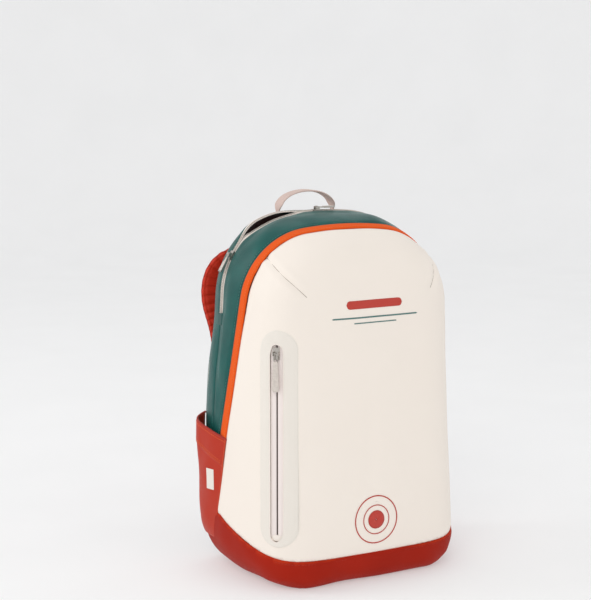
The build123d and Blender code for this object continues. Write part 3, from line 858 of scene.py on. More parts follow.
# ------------------------------------------------------------------ front pocket
def on_front(s, v):
    """c and v of the bag's face at (s, v) of the pocket's own plane."""
    s, v = np.broadcast_arrays(np.asarray(s, float), np.asarray(v, float))
    want = lambda p: np.stack([(p - F_O) @ F_S, (p - F_O) @ F_V], -1)
    return solve(want, np.stack([s, v], -1), np.interp(v, [-140, 140], [8.65, 7.35]),
                 np.full(s.shape, V_AT[6]) + s * 0.6, 25)


def stadium(s0, s1, v0, v1, corner, count=40):
    """480 points of a rounded rectangle, so that two of them can be joined."""
    out = []
    corner = min(corner, (s1 - s0) / 2 - 1e-3)
    for cx, cy, a in ((s1 - corner, v1 - corner, 0), (s0 + corner, v1 - corner, 90),
                      (s0 + corner, v0 + corner, 180), (s1 - corner, v0 + corner, 270)):
        for k in range(count + 1):
            w = math.radians(a + 90 * k / count)
            out.append((cx + corner * math.cos(w), cy + corner * math.sin(w)))
    out = np.array(out + out[:1])
    s = run_length(out)
    t = np.linspace(0, s[-1], 481)[:-1]
    return np.stack([np.interp(t, s, out[:, 0]), np.interp(t, s, out[:, 1])], -1)


def front_patch(name, sv, lift, closed_cols=False, flip=False, thick=0.0):
    """sv: rows x cols x 2 in the pocket's plane, lifted off the bag's face."""
    cc, vv = on_front(sv[..., 0].ravel(), sv[..., 1].ravel())
    p, n = surface(cc, vv), normals(cc, vv)
    p = p + n * np.broadcast_to(lift, sv.shape[:2]).reshape(-1)[:, None]
    rows, cols = sv.shape[:2]
    obj = make_object(name, p, grid_faces(rows, cols, wrap_cols=closed_cols, flip=flip), sv.reshape(-1, 2))
    if thick:
        thicken(obj, thick)
    return obj


def front_row(sv, lift):
    """Points with normals along a line of the pocket's plane."""
    c0, v0 = on_front(sv[:, 0], sv[:, 1])
    n = normals(c0, v0)
    return np.hstack([surface(c0, v0) + n * lift, n])


outer = stadium(-24.5, 28.5, -139, 150, 26.4)
inner = stadium(-9.5, 9.5, -131.9, 130.9, 9.4)
share = np.linspace(0, 1, 16)
ring_sv = outer[None] * (1 - share[:, None, None]) + inner[None] * share[:, None, None]
edge_lift = 1.5 - 0.35 * smooth((share - 0.9) / 0.1)
edge_lift[0] = -0.2
trim = front_patch("Front_pocket_trim_film", ring_sv, edge_lift[:, None], closed_cols=True)
settle(trim, FILM, replaces=["front_pocket_trim"])
lip = tube("Front_pocket_rim", front_row(inner, 0.9), 0.7, ring=8, closed=True)
settle(lip, TAPE)

# a dark lining sheet under the window, so the gap between the flaps shows dark: painted shade of the recess
ss, ww = np.meshgrid(np.linspace(-11, 11, 14), np.linspace(-133, 133, 120))
gap_shade_sheet = front_patch("Front_window_shade_sheet", np.stack([ss, ww], -1), -3.9, thick=0.4)
settle(gap_shade_sheet, LINING_AND_SHADE_SHEET)
vv = np.linspace(-130.5, 129.5, 150)
end = np.clip(np.minimum(vv + 131.6, 130.6 - vv) / 9.4, 0, 1)
wide = 1.0 + (8.9 - 1.0) * np.sqrt(np.maximum(1 - (1 - end) ** 2, 0.02))
t = np.linspace(0, 1, 12)[:, None]
lift = -2.2 + 1.2 * np.sin(np.pi * np.clip(t * 0.92 + 0.02, 0, 1)) + 1.0 * t ** 4
for side, word in ((-1, "left"), (1, "right")):
    sv = np.stack([side * (1.0 + (wide - 1.0) * t), np.tile(vv, (12, 1))], -1)
    wander = 0.12 * np.sin(vv / 17.0 + side) * np.sin(np.pi * t)
    obj = front_patch(f"Front_zip_flap_{word}", sv, lift + wander, flip=side > 0, thick=0.6)
    settle(obj, FLAP, replaces=[f"front_flap_{word}"])

# the closed coil between the flaps, dark taupe as painted shade of the narrow gap, and a stop at its foot
points, faces = [], []
vv = np.arange(-129.5, 117, 1.5)
cc, vs = on_front(np.zeros_like(vv), vv)
pc, nc = surface(cc, vs), normals(cc, vs)
for k, (p, n, sgn) in enumerate(zip(pc, nc, np.where(np.arange(len(vv)) % 2, 1.0, -1.0))):
    side = np.cross(F_V, n)
    first = len(points)
    for y in (-0.45, 0.45):
        for a in np.linspace(0, 2 * np.pi, 8, endpoint=False):
            points.append(p - n * 3.1 + F_V * y + side * (sgn * 0.35 + 1.1 * math.cos(a))
                          + n * 0.55 * math.sin(a))
    faces += [(first + i, first + (i + 1) % 8, first + 8 + (i + 1) % 8, first + 8 + i) for i in range(8)]
    faces += [tuple(first + i for i in range(8))[::-1], tuple(first + 8 + i for i in range(8))]
coil = make_object("Front_zip_coil", points, faces)
settle(coil, COIL_GAP_SHADE)
ss, ww = np.meshgrid(np.linspace(-8.3, 8.3, 14), np.linspace(-131, -122, 10))
lift = -1.3 + 0.8 * smooth(edge_gap(ss, ww, -8.3, 8.3, -131, -122) / 2)
stop = front_patch("Front_zip_end_stop", np.stack([ss, ww], -1), lift, thick=1.0)
settle(stop, TAPE)
for word, shape, lift in (("outer", stadium(-22.2, 26.2, -136.7, 147.7, 24.1), 0.75),
                          ("inner", stadium(-12.0, 12.0, -134.5, 134.5, 12.0), 0.72)):
    stitches(f"Trim_stitch_{word}", [front_row(np.vstack([shape, shape[:1]]), lift)],
             THREAD_GREY, length=2.2, gap=2.0, radius=0.36, slot="trim_film")

# pull tab: a moulded tongue on its link
v_line = np.linspace(109, 69, 40)
half = np.interp(v_line, [69, 70.5, 74, 100, 107, 109], [3.2, 4.4, 4.7, 3.6, 3.2, 2.6])
thick_at = np.interp(v_line, [69, 71, 92, 104, 109], [1.1, 1.55, 1.6, 1.3, 1.0])
rows = []
ang = np.linspace(0, 2 * np.pi, 29)[:-1]
for v0, h, tk in zip(v_line, half, thick_at):
    s = h * signed_power(np.cos(ang), 0.4)
    n = tk * signed_power(np.sin(ang), 0.6)
    groove = np.exp(-((v0 % 6 - 3) / 0.6) ** 2) * 0.22 * (74 < v0 < 100) * (np.abs(s) < h * 0.8)
    rows.append(F_O + F_V * v0 + np.outer(s, F_S) + np.outer(4.9 + n - np.sign(n) * groove, F_N))
tab = loft("Front_pull_tongue", rows, outward=False)
settle(tab, CREAM_TAB, body="front_pull", replaces=["front_pull_tab"])
ring_path = []
for w in np.linspace(0, 2 * np.pi, 40, endpoint=False):
    s, v0 = 2.4 * signed_power(math.cos(w), 0.7), 112.5 + 5.6 * math.sin(w)
    ring_path.append(np.concatenate([F_O + F_S * s + F_V * v0 + F_N * 4.9, F_N]))
settle(tube("Front_pull_ring", np.array(ring_path), 0.6, ring=8, closed=True), NICKEL, body="front_pull",
       replaces=["front_pull_link"])

# ------------------------------------------------------------------ side pockets
# the side pocket's bulge: its share from front to back, and its size (second column) by height
POCKET_AHEAD, POCKET_BACK, POCKET_COLS, HEM_ROWS = 3.0, 106.0, 44, 56
POCKET_SHARE = (np.array([0, .3, .62, .86, 1]), np.array([.08, .55, .95, 1, .45]))
POCKET_LEVEL = np.array([(14, 0), (34, 3), (64, 6), (110, 11.5), (160, 14), (228, 13)], float)
share_curve = Spline(*POCKET_SHARE)
level_curve = Spline(POCKET_LEVEL[:, 0], POCKET_LEVEL[:, 1:])


def side_x(y, z):
    """Half width of the bag at a height, where its flank is straight or turns under."""
    v = v_for_y(y)
    c = np.linspace(0, 4, 160)
    ring = surface(c, np.full_like(c, float(v)))
    return float(np.interp(z, ring[:, 2], ring[:, 0]))


def pocket_front(z):
    """y of the pocket's front edge, a little ahead of the coloured band."""
    return BAND_Y - BAND_LEAN * z - POCKET_AHEAD


def pocket_point(u, z, sgn):
    """Pocket wall at u (0 front edge, 1 back edge) and height z."""
    bulge = float(level_curve(np.array(min(max(z, 14), 228.0)))[0])
    y = pocket_front(z) * (1 - u) + POCKET_BACK * u
    return np.array([sgn * (side_x(y, z) + bulge * float(share_curve(np.array(float(u)))) - 0.4), y, z])


mouth_z = lambda y: 178.4 + 0.30 * y
hem_z = lambda y: 132.4 + 0.46 * y
fold = noise_field(21, 26)
wide_fold = noise_field(22, 60)


def pocket_crease(p, u):
    return math.sin(math.pi * u) * (0.7 * float(fold(p)) + 0.8 * float(wide_fold(p)))


def pocket_rows(z_low, z_high, sgn, out, rows=70, cols=POCKET_COLS, wrinkle=1.0):
    grid = np.zeros((rows, cols, 3))
    for i in range(rows):
        for j in range(cols):
            u = j / (cols - 1)
            y = BAND_Y * (1 - u) + POCKET_BACK * u
            for _ in range(4):
                z = z_low(y) + (z_high(y) - z_low(y)) * i / (rows - 1)
                y = pocket_front(z) * (1 - u) + POCKET_BACK * u
            p = pocket_point(u, z, sgn)
            grid[i, j] = p + [sgn * (out + wrinkle * pocket_crease(p, u)), 0, 0]
    return grid


for sgn, word in ((-1, "left"), (1, "right")):
    low = pocket_rows(lambda y: 44.0, hem_z, sgn, 0.1)
    wall = strip(f"Side_pocket_wall_{word}", low, flip=sgn < 0)
    thicken(wall, 1.6)
    settle(wall, POCKET_RED, replaces=[f"side_pocket_{word}"])
    high = pocket_rows(lambda y: hem_z(y) - 1.5, mouth_z, sgn, 0.9, rows=HEM_ROWS, wrinkle=0.8)
    t = np.linspace(0, 1, HEM_ROWS)
    high[..., 0] += sgn * (1.1 * smooth(t / 0.06) * smooth((1 - t) / 0.05) - 0.9)[:, None]
    hem = strip(f"Side_pocket_top_{word}", high, flip=sgn < 0)
    thicken(hem, 2.0)
    settle(hem, POCKET_RED, replaces=[f"pocket_hem_{word}"])
    edge = high[-1]
    nrm = np.tile([sgn * 0.4, 0, 1.0], (len(edge), 1))
    settle(tube(f"Side_pocket_binding_{word}", np.hstack([edge - [sgn * 0.8, 0, 0], nrm]), 1.5, ring=10),
           RED_WEB)
    seam_rows = []
    for above_hem in (2.4, 5.2):
        row = []
        for u in np.linspace(0.04, 0.96, 60):
            y = BAND_Y * (1 - u) + POCKET_BACK * u
            share = (above_hem + 1.5) / (mouth_z(y) - hem_z(y) + 1.5)
            i = int(np.clip(round(share * (HEM_ROWS - 1)), 0, HEM_ROWS - 1))
            point = high[i, int(round(u * (POCKET_COLS - 1)))]
            row.append(np.concatenate([point + [sgn * 0.1, 0, 0], [sgn, 0, 0]]))
        seam_rows.append(np.array(row))
    seam_rows.append(np.hstack([high[50] + [sgn * 0.05, 0, 0], np.tile([sgn, 0, 0], (POCKET_COLS, 1))]))
    stitches(f"Side_pocket_stitch_{word}", seam_rows, THREAD_ORANGE, length=2.4, gap=1.6, radius=0.3,
             slot="base_leather")

# a small blank woven label on the left pocket
LABEL_Y, LABEL_Z = (51, 65), (112, 141)
yy, zz = np.meshgrid(np.linspace(*LABEL_Y, 30), np.linspace(*LABEL_Z, 60))
gap = edge_gap(yy, zz, *LABEL_Y, *LABEL_Z)
rows = np.zeros(yy.shape + (3,))
for at in np.ndindex(yy.shape):
    y, z, e = yy[at], zz[at], gap[at]
    u = (y - pocket_front(z)) / (POCKET_BACK - pocket_front(z))
    base = pocket_point(u, z, -1)
    line = 0.3 * (0.5 + 0.5 * math.cos((y - 58) * 2 * math.pi / 2.2)) * (e > 1.8)
    rows[at] = base + [-(0.35 + pocket_crease(base, u) + 0.75 * smooth(e / 0.9) - line), 0, 0]
label = strip("Side_pocket_label", rows, flip=True)
settle(label, FILM, replaces=["pocket_badge"])

# ------------------------------------------------------------------ shoulder straps
STRAP_HALF, STRAP_DEEP, RIB_PITCH = 34.0, 5.5, 9.5
STRAP = np.array([(-50, 121.5, 452), (-52, 129.5, 436), (-71, 142.5, 418), (-97, 152.5, 397),
                  (-105.5, 152, 366), (-100, 144, 330), (-95.5, 137.5, 290), (-93.5, 133.5, 248),
                  (-93, 129.5, 206)], float)
strap_len = run_length(STRAP)
strap_curve = Spline(strap_len, STRAP)
S_END = strap_len[-1]


def strap_frame(s):
    """Point, direction across the strap and direction out of its face, s mm along it."""
    run = strap_curve(min(s + 0.5, S_END)) - strap_curve(max(s - 0.5, 0))
    run /= np.linalg.norm(run)
    wide = np.array([1.0, 0, 0]) - run * run[0]
    wide /= np.linalg.norm(wide)
    face = np.cross(run, wide)
    return strap_curve(s), wide, -face if face @ np.array([0, 1, 0.2]) < 0 else face


def strap_half(s):
    return STRAP_HALF * (0.80 + 0.20 * smooth(min(s, S_END - s) / 26))


def mirrored(points, sgn):
    """Left-hand points as they are, right-hand ones with x turned round."""
    return points * [-1, 1, 1] if sgn > 0 else points


def strap_section(s, sgn):
    """A quilted cross-section: rounded bar with a raised rib pattern on its faces."""
    p, wide, face = strap_frame(s)
    half = strap_half(s) - 0.4
    w = np.linspace(0, 2 * np.pi, 97)[:-1]
    x = half * signed_power(np.cos(w), 0.35)
    rib = abs(math.sin(math.pi * s / RIB_PITCH)) ** 0.6
    edge = 1 - 0.12 * np.exp(-((half - abs(x) - 4.0) / 1.3) ** 2)
    z = signed_power(np.sin(w), 0.55) * STRAP_DEEP * (0.52 + 0.48 * rib) * edge
    return mirrored(p + np.outer(x * (0.975 + 0.025 * rib), wide) + np.outer(z, face), sgn)


def strap_line(sgn, s0, s1, count, place):
    """Points with normals along the strap; place(s, point, across, out) gives one of each."""
    return np.array([np.concatenate([mirrored(v, sgn) for v in place(s, *strap_frame(s))])
                     for s in np.linspace(s0, s1, count)])


for sgn, word in ((-1, "left"), (1, "right")):
    stations = np.linspace(1.2, S_END - 1.2, 330)
    rings = np.array([strap_section(s, sgn) for s in stations])
    for k, end_share in enumerate(np.minimum(stations, S_END - stations) / 4.0):
        if end_share < 1:
            centre = rings[k].mean(0)
            rings[k] = centre + (rings[k] - centre) * (0.86 + 0.14 * math.sqrt(max(end_share, 0)))
    pad = loft(f"Strap_pad_quilted_{word}", rings, flip=sgn < 0, outward=False)
    settle(pad, RED_PAD, replaces=[f"strap_pad_{word}"])
    for lead, tag in ((-1, "inner"), (1, "outer")):
        path = strap_line(sgn, 3, S_END - 3, 160, lambda s, p, wide, face: (
            p + wide * lead * (strap_half(s) - 1.2), wide * lead))
        settle(tube(f"Strap_binding_{tag}_{word}", path, 1.5, ring=10, squash=0.8), RED_WEB)


def ribbon(name, points, width, thick, sgn, across=14, ribs=5):
    """Woven webbing along a smooth line: flat, ribbed lengthwise, with rounded selvedges."""
    pts = np.asarray(points, float)
    length = run_length(pts)
    curve = Spline(length, pts)
    t = np.linspace(-1, 1, across)
    rows = []
    for s in np.linspace(0, length[-1], max(int(length[-1] / 1.5), 20)):
        run = curve(min(s + 0.5, length[-1])) - curve(max(s - 0.5, 0))
        run /= np.linalg.norm(run)
        w = np.array([1.0, 0, 0]) - run * run[0]
        w /= np.linalg.norm(w)
        face = np.cross(w, run)
        ring = []
        for way in (1, -1):
            deep = thick / 2 * (1 - 0.45 * t ** 8) * (1 - 0.10 * (0.5 + 0.5 * np.cos(t * math.pi * ribs)))
            ring.append(curve(s) + np.outer(t * way * width / 2, w) + np.outer(deep, face) * way)
        rows.append(mirrored(np.vstack(ring), sgn))
    n, m = len(rows), 2 * across
    uv = np.stack([np.tile(np.linspace(0, 2 * width, m), n), np.repeat(np.linspace(0, length[-1], n), m)], -1)
    return loft(name, rows, uv)


def slab(name, outline, y0, y1, edge=1.2, material=RED_WEB, replaces=()):
    """Sewn patch from an x, z outline, rolled at its edges."""
    outline = np.array(outline, float)
    dense = resample(np.vstack([outline, outline[:1]]), 2.0)[0][:-1]
    centre = dense.mean(0)
    rows = [np.column_stack([dense[:, 0], np.full(len(dense), y0), dense[:, 1]])]
    for t, drop in ((1.0, 1), (0.97, 0.35), (0.92, 0.08), (0.8, 0), (0.6, 0), (0.35, 0), (0.1, 0)):
        ring = centre + (dense - centre) * t
        rows.append(np.column_stack([ring[:, 0], np.full(len(ring), y1 - edge * drop), ring[:, 1]]))
    rows = np.array(rows)
    return settle(loft(name, rows, rows.reshape(-1, 3)[:, [0, 2]]), material,
                  replaces=list(replaces))


def back_row(x, y, z):
    """Points of a line on the back, with normals straight back."""
    x, y, z = np.broadcast_arrays(np.asarray(x, float), float(y), z)
    return np.stack([x, y, z, 0 * x, 0 * x + 1, 0 * x], -1)


for sgn, word in ((-1, "left"), (1, "right")):
    web = ribbon(f"Strap_web_{word}", [(-93, 126.4, 203), (-91.6, 125.6, 188), (-97, 121, 150),
                                       (-106, 116.2, 112), (-114, 113.0, 84)], 25, 1.8, sgn)
    settle(web, RED_WEB, replaces=[f"strap_webbing_{word}"])
    poly = [(-136, 66), (-100, 60), (-100, 96), (-128, 92)]
    slab(f"Strap_anchor_patch_{word}", [(-sgn * x, z) for x, z in poly], 108.6, 112,
         replaces=[f"strap_anchor_{word}"])
    box = [(-131, 70), (-104, 65.5), (-104, 91), (-126, 88)]
    rows = []
    for line in (box + box[:1], [box[0], box[2]], [box[1], box[3]]):
        path, _ = resample(np.array(line, float), 3.0)
        rows.append(back_row(-sgn * path[:, 0], 112.05, path[:, 1]))
    stitches(f"Strap_anchor_stitch_{word}", rows, THREAD_ORANGE, length=2.6, gap=1.2, slot="strap_cloth")
    rows = [strap_line(sgn, 8, S_END - 8, 150, lambda s, p, wide, face: (
        p + wide * lead * (strap_half(s) - 4.4) + face * 4.1, face)) for lead in (-1, 1)]
    stitches(f"Strap_stitch_{word}", rows, THREAD_ORANGE, length=2.8, gap=1.6, radius=0.34,
             slot="strap_cloth")

slab("Strap_yoke_panel", [(-96, 438), (-92, 436), (92, 436), (96, 438), (96, 456), (92, 458),
                          (-92, 458), (-96, 456)], 108.6, 114, edge=1.6, material=RED,
     replaces=["strap_yoke"])
stitches("Strap_yoke_stitch", [back_row(np.linspace(-93, 93, 80), 113.9, z) for z in (438.5, 455.5)],
         THREAD_ORANGE, length=2.6, gap=1.4, slot="strap_cloth")

# ------------------------------------------------------------------ back pads, puffed by a cloth run


def pad_grid(z0, z1, half, corner, channel_z, step=4.0, shrink=2.0, nx=58):
    """Closed cushion between the back panel and y 118, pillowed, with sewn channels across it."""
    t = np.linspace(-1, 1, nx)
    nz = int((z1 - z0) / step)
    rows = []
    for z in z0 + shrink + (z1 - z0 - 2 * shrink) * np.arange(nz + 1) / nz:
        end = min(z - z0, z1 - z)
        w = half - shrink - (corner - math.sqrt(max(corner ** 2 - max(corner - end, 0) ** 2, 0)))
        w = max(w, 3.0)
        dip = sum(math.exp(-((z - cz) / 2.6) ** 2) for cz in channel_z)
        crown = (1 - abs(t) ** 3.2) ** 0.6 * smooth(end / 13) ** 0.5
        y = 109.2 + 7.0 * crown * (1 - 0.55 * dip)
        rows.append(np.vstack([np.column_stack([w * t, y, np.full(nx, z)]),
                               np.column_stack([-w * t, np.full(nx, 108.5), np.full(nx, z)])]))
    return rows


def vertex_points(mesh):
    flat = np.empty(len(mesh.vertices) * 3)
    mesh.vertices.foreach_get("co", flat)
    return flat.reshape(-1, 3)


def puff(obj, cap):
    """Blender's own cloth under pressure, with how far each point may move kept small."""
    bpy.ops.object.select_all(action="DESELECT")
    bpy.context.view_layer.objects.active = obj
    remesh = obj.modifiers.new("voxels", "REMESH")
    remesh.mode, remesh.voxel_size = "VOXEL", 0.0045
    bpy.ops.object.modifier_apply(modifier="voxels")
    start = vertex_points(obj.data)
    soft = obj.modifiers.new("cloth", "CLOTH")
    soft.settings.use_pressure, soft.settings.uniform_pressure_force = True, 4.0
    soft.settings.effector_weights.gravity = 0.0
    soft.settings.quality = 6
    soft.point_cache.frame_start, soft.point_cache.frame_end = 1, 20
    for f in range(1, 21):
        bpy.context.scene.frame_set(f)
    shown = obj.evaluated_get(bpy.context.evaluated_depsgraph_get())
    move = vertex_points(shown.to_mesh()) - start
    shown.to_mesh_clear()
    obj.modifiers.remove(soft)
    bpy.context.scene.frame_set(1)
    size = np.linalg.norm(move, axis=1, keepdims=True)
    return start + move * np.minimum(1, cap * MM / np.maximum(size, 1e-9))


for tag, z0, z1, half, channels in (("upper", 268, 424, 96, (306, 346, 386)),
                                    ("lower", 108, 250, 104, (148, 184, 218))):
    cushion = loft(f"Back_cushion_{tag}", pad_grid(z0, z1, half, 34, channels), outward=False)
    now = puff(cushion, 5.0)
    now[:, 1] = np.clip(now[:, 1], 0.1084, 0.1180)
    now[:, 0] = np.clip(now[:, 0], -(half + 0.5) * MM, (half + 0.5) * MM)
    now[:, 2] = np.clip(now[:, 2], z0 * MM, z1 * MM)
    for cz in channels:       # sewn channels go in after the cloth run
        dip = np.exp(-((now[:, 2] / MM - cz) / 2.2) ** 2)
        dip *= smooth((half - 10 - np.abs(now[:, 0] / MM)) / 8)
        now[:, 1] -= dip * np.maximum(now[:, 1] - 0.1125, 0) * 0.75
    cushion.data.vertices.foreach_set("co", now.astype(np.float32).ravel())
    cushion.data.update()
    sub = cushion.modifiers.new("smooth", "SUBSURF")
    sub.levels = sub.render_levels = 1
    cushion.data.shade_smooth()
    settle(cushion, DARK_MESH, replaces=[f"back_pad_{tag}"])
    edge = stadium(-half + 1.5, half - 1.5, z0 + 1.5, z1 - 1.5, 33)
    settle(tube(f"Back_cushion_binding_{tag}", back_row(edge[:, 0], 108.8, edge[:, 1]), 2.1, ring=10,
                closed=True, squash=0.9), BINDING)
    rows = [back_row(np.linspace(-half + 14, half - 14, 90), 113.3, cz) for cz in channels]
    stitches(f"Back_cushion_stitch_{tag}", rows, THREAD_DARK, length=2.8, gap=1.4, radius=0.35,
             slot="back_mesh")

# ------------------------------------------------------------------ grab handle
w = np.linspace(0, math.pi, 90)
path = np.stack([-44 * np.cos(w), np.full(90, 101.0), 485.4 + 29.6 * np.maximum(np.sin(w), 0) ** 0.8], -1)
length = run_length(path)
even = np.linspace(0, length[-1], 130)
path = np.stack([np.interp(even, length, path[:, k]) for k in range(3)], -1)
LAST = len(path) - 1


def handle_face(k):
    run = path[min(k + 1, LAST)] - path[max(k - 1, 0)]
    return np.cross(run / np.linalg.norm(run), [0, 1, 0])


rows = []
for k, s in enumerate(even):
    half = 4.5 + 6.5 * smooth(min(s, even[-1] - s) / 13)
    ring = []
    for way in (1, -1):
        t = np.linspace(-1, 1, 40) * way
        rib = 0.82 + 0.18 * abs(np.sin(t * half / 1.15 * math.pi / 2)) ** 0.6
        deep = -way * 1.2 * rib * (1 - 0.5 * abs(t) ** 10)
        ring.append(path[k] + np.outer(t * half, [0, 1, 0]) + np.outer(deep, handle_face(k)))
    rows.append(np.vstack(ring))
m = len(rows[0])
uv = np.stack([np.tile(np.linspace(0, 44, m), len(even)), np.repeat(even, m)], -1)
settle(loft("Grab_handle_web", rows, uv), WEB, body="grab_handle",
       replaces=["grab_handle"])
rows = []
for side in (-1, 1):
    row = []
    for k in range(12, 118):
        face = handle_face(k) * (-1 if handle_face(k)[2] < 0 else 1)
        row.append(np.concatenate([path[k] + np.array([0, side * 8.2, 0]) + face * 1.15, face]))
    rows.append(np.array(row))
stitches("Grab_handle_stitch", rows, THREAD_CREAM, length=2.6, gap=1.4, radius=0.3, body="grab_handle",
         slot="handle_webbing")

for sgn, word in ((-1, "left"), (1, "right")):
    xx, yy = np.meshgrid(np.linspace(34, 56, 24), np.linspace(93, 102.6, 12))
    lift = 0.15 + 0.95 * smooth(edge_gap(xx, yy, 34, 56, 93, 102.6) / 1.4)
    patch = face_patch(f"Handle_anchor_patch_{word}", [0, 1], sgn * xx, yy, 5 - sgn * 0.5,
                       v_for_y(yy.ravel()), lift, flip=sgn > 0, rounds=20)
    settle(patch, WEB, replaces=[f"handle_anchor_{word}"])

# ------------------------------------------------------------------ main pulls
for word, centre, radius, angle, sgn in (("left", SHOULDER_C, SHOULDER_R, 149.5, 1),
                                         ("right", np.array([0.0, 10.0]), 480.0, 90.2, -1)):
    a = math.radians(angle)
    radial = np.array([math.cos(a), 0, math.sin(a)])
    along = np.array([-math.sin(a), 0, math.cos(a)]) * sgn
    origin = np.array([centre[0], ZIP_Y, centre[1]]) + radial * (radius + 4)
    w = np.linspace(0, 2 * np.pi, 25)[:-1]
    rows = []
    for t in np.linspace(0, 1, 44):
        half = np.interp(t, [0, 0.12, 0.3, 0.55, 0.92, 1], [1.5, 2.2, 2.6, 4.0, 4.1, 3.2])
        thick = np.interp(t, [0, 0.1, 0.3, 0.5, 0.95, 1], [0.7, 0.8, 0.9, 1.35, 1.35, 0.8])
        groove = 0.25 * math.exp(-((t * 24) % 3 - 1.5) ** 2 / 0.2) * (0.55 < t < 0.95)
        z = thick * signed_power(np.sin(w), 0.6)
        y = half * signed_power(np.cos(w), 0.4)
        rows.append(origin + along * (2.6 + 23.2 * t) + np.outer(y, [0, 1, 0])
                    + np.outer(z - np.copysign(groove, z), radial))
    pull = loft(f"Main_pull_tongue_{word}", rows)
    settle(pull, CREAM_TAB, body=f"main_pull_{word}")
    repaint(f"main_pull_{word}", NICKEL)

# ------------------------------------------------------------------ stitched seams of the bag


def field_row(field, c_from, c_to, lift, keep, count=400):
    """Points along the bag where field(point) is 0, from c_from round to c_to, where keep is positive."""
    c = np.linspace(c_from, c_to, count)
    lo, hi = np.zeros(count), np.full(count, V_END)
    table = np.linspace(0, V_END, 300)
    out = np.full(count, np.nan)
    for k, ck in enumerate(c):
        f = field(surface(np.full(300, ck), table))
        cross = np.nonzero(f[:-1] * f[1:] <= 0)[0]
        if len(cross):
            i = cross[0]
            out[k] = table[i] + (table[i + 1] - table[i]) * f[i] / (f[i] - f[i + 1] + 1e-12)
    good = ~np.isnan(out)
    c, out = c[good], out[good]
    n = normals(c, out)
    rows = np.hstack([surface(c, out) + n * lift, n])
    return rows[keep(rows) > 0]


def split_rows(rows, gap=12):
    cuts = np.nonzero(np.linalg.norm(np.diff(rows[:, :3], axis=0), axis=1) > gap)[0] + 1
    return [r for r in np.split(rows, cuts) if len(r) > 4]


over_seam = lambda rows: rows[:, 2] - seam_height(rows[:, :3]) - 1.5
short_of_back = lambda rows: np.minimum(100.0 - rows[:, 1], 1.0)
for name, field, reach, lift, keep, thread_look, size, slot in (
        ("Band_stitch_front", lambda p: band_front(p) + 2.6, 1.5, 1.0, over_seam, THREAD_ORANGE,
         (2.6, 1.4, 0.3), "band_webbing"),
        ("Band_stitch_rear", lambda p: behind_band(p) + 2.6, 1.5, 1.0, over_seam, THREAD_ORANGE,
         (2.6, 1.4, 0.3), "band_webbing"),
        ("Boot_stitch", lambda p: above_seam(p) + 4.0, 0.9, 0.62, short_of_back, THREAD_RED,
         (2.8, 1.5, 0.3), "base_leather"),
        ("Gusset_stitch", lambda p: behind_band(p) - 4.0, 1.5, 0.3, over_seam, THREAD_TEAL,
         (2.8, 1.5, 0.26), "gusset_satin")):
    stitches(name, split_rows(field_row(field, reach, 10 - reach, lift, keep)), thread_look, *size, slot=slot)

# ------------------------------------------------------------------ plain printed motif and disc


def front_y():
    """y of the front face on an even x, z grid, by dropping the form's points onto it."""
    cc, vv = np.meshgrid(np.linspace(0, 10, 1200), np.linspace(V_AT[5], V_END, 260))
    p = surface(cc.ravel(), vv.ravel())
    p = p + normals(cc.ravel(), vv.ravel()) * front_shape(p)[:, None]
    xs, zs = np.arange(-100, 101, 2.0), np.arange(44, 420, 2.0)
    total, weight = np.zeros((len(xs), len(zs))), np.zeros((len(xs), len(zs)))
    i = np.clip(np.round((p[:, 0] + 100) / 2).astype(int), -1, len(xs))
    j = np.clip(np.round((p[:, 2] - 44) / 2).astype(int), -1, len(zs))
    ok = (i >= 0) & (i < len(xs)) & (j >= 0) & (j < len(zs)) & (p[:, 1] < -40)
    np.add.at(total, (i[ok], j[ok]), p[ok, 1])
    np.add.at(weight, (i[ok], j[ok]), 1)
    y = np.where(weight > 0, total / np.maximum(weight, 1), np.nan)
    while np.isnan(y).any():
        pad = np.pad(y, 1, constant_values=np.nan)
        near = np.stack([pad[:-2, 1:-1], pad[2:, 1:-1], pad[1:-1, :-2], pad[1:-1, 2:]])
        known = (~np.isnan(near)).sum(0)
        y = np.where(np.isnan(y) & (known > 0), np.nansum(near, 0) / np.maximum(known, 1), y)
    for _ in range(3):
        pad = np.pad(y, 1, mode="edge")
        y = (pad[1:-1, 1:-1] * 4 + pad[:-2, 1:-1] + pad[2:, 1:-1] + pad[1:-1, :-2] + pad[1:-1, 2:]) / 8
    return xs, zs, y


XS, ZS, FRONT_Y = front_y()


def drop(x, z, lift):
    """Points on the front face, lift mm proud of it."""
    fx, fz = (np.asarray(x, float) + 100) / 2, (np.asarray(z, float) - 44) / 2
    i, j = np.clip(fx.astype(int), 0, len(XS) - 2), np.clip(fz.astype(int), 0, len(ZS) - 2)
    u, w = fx - i, fz - j
    y = (FRONT_Y[i, j] * (1 - u) * (1 - w) + FRONT_Y[i + 1, j] * u * (1 - w)
         + FRONT_Y[i, j + 1] * (1 - u) * w + FRONT_Y[i + 1, j + 1] * u * w)
    return np.stack([x, y - lift, z], -1)


def print_bar(name, x0, x1, z0, z1, material, nx=60, nz=8, tilt=0.0, lift=0.28):
    xx, zz = np.meshgrid(np.linspace(x0, x1, nx), np.linspace(0, 1, nz))
    round_end = np.clip(np.minimum(xx - x0, x1 - xx) / ((z1 - z0) / 2), 0.0, 1)
    half = (z1 - z0) / 2 * np.sqrt(np.maximum(1 - (1 - round_end) ** 2, 0.0004))
    z = (z0 + z1) / 2 + (zz * 2 - 1) * half + tilt * (xx - x0)
    obj = strip(name, drop(xx, z, lift))
    thicken(obj, 0.25)
    settle(obj, material)


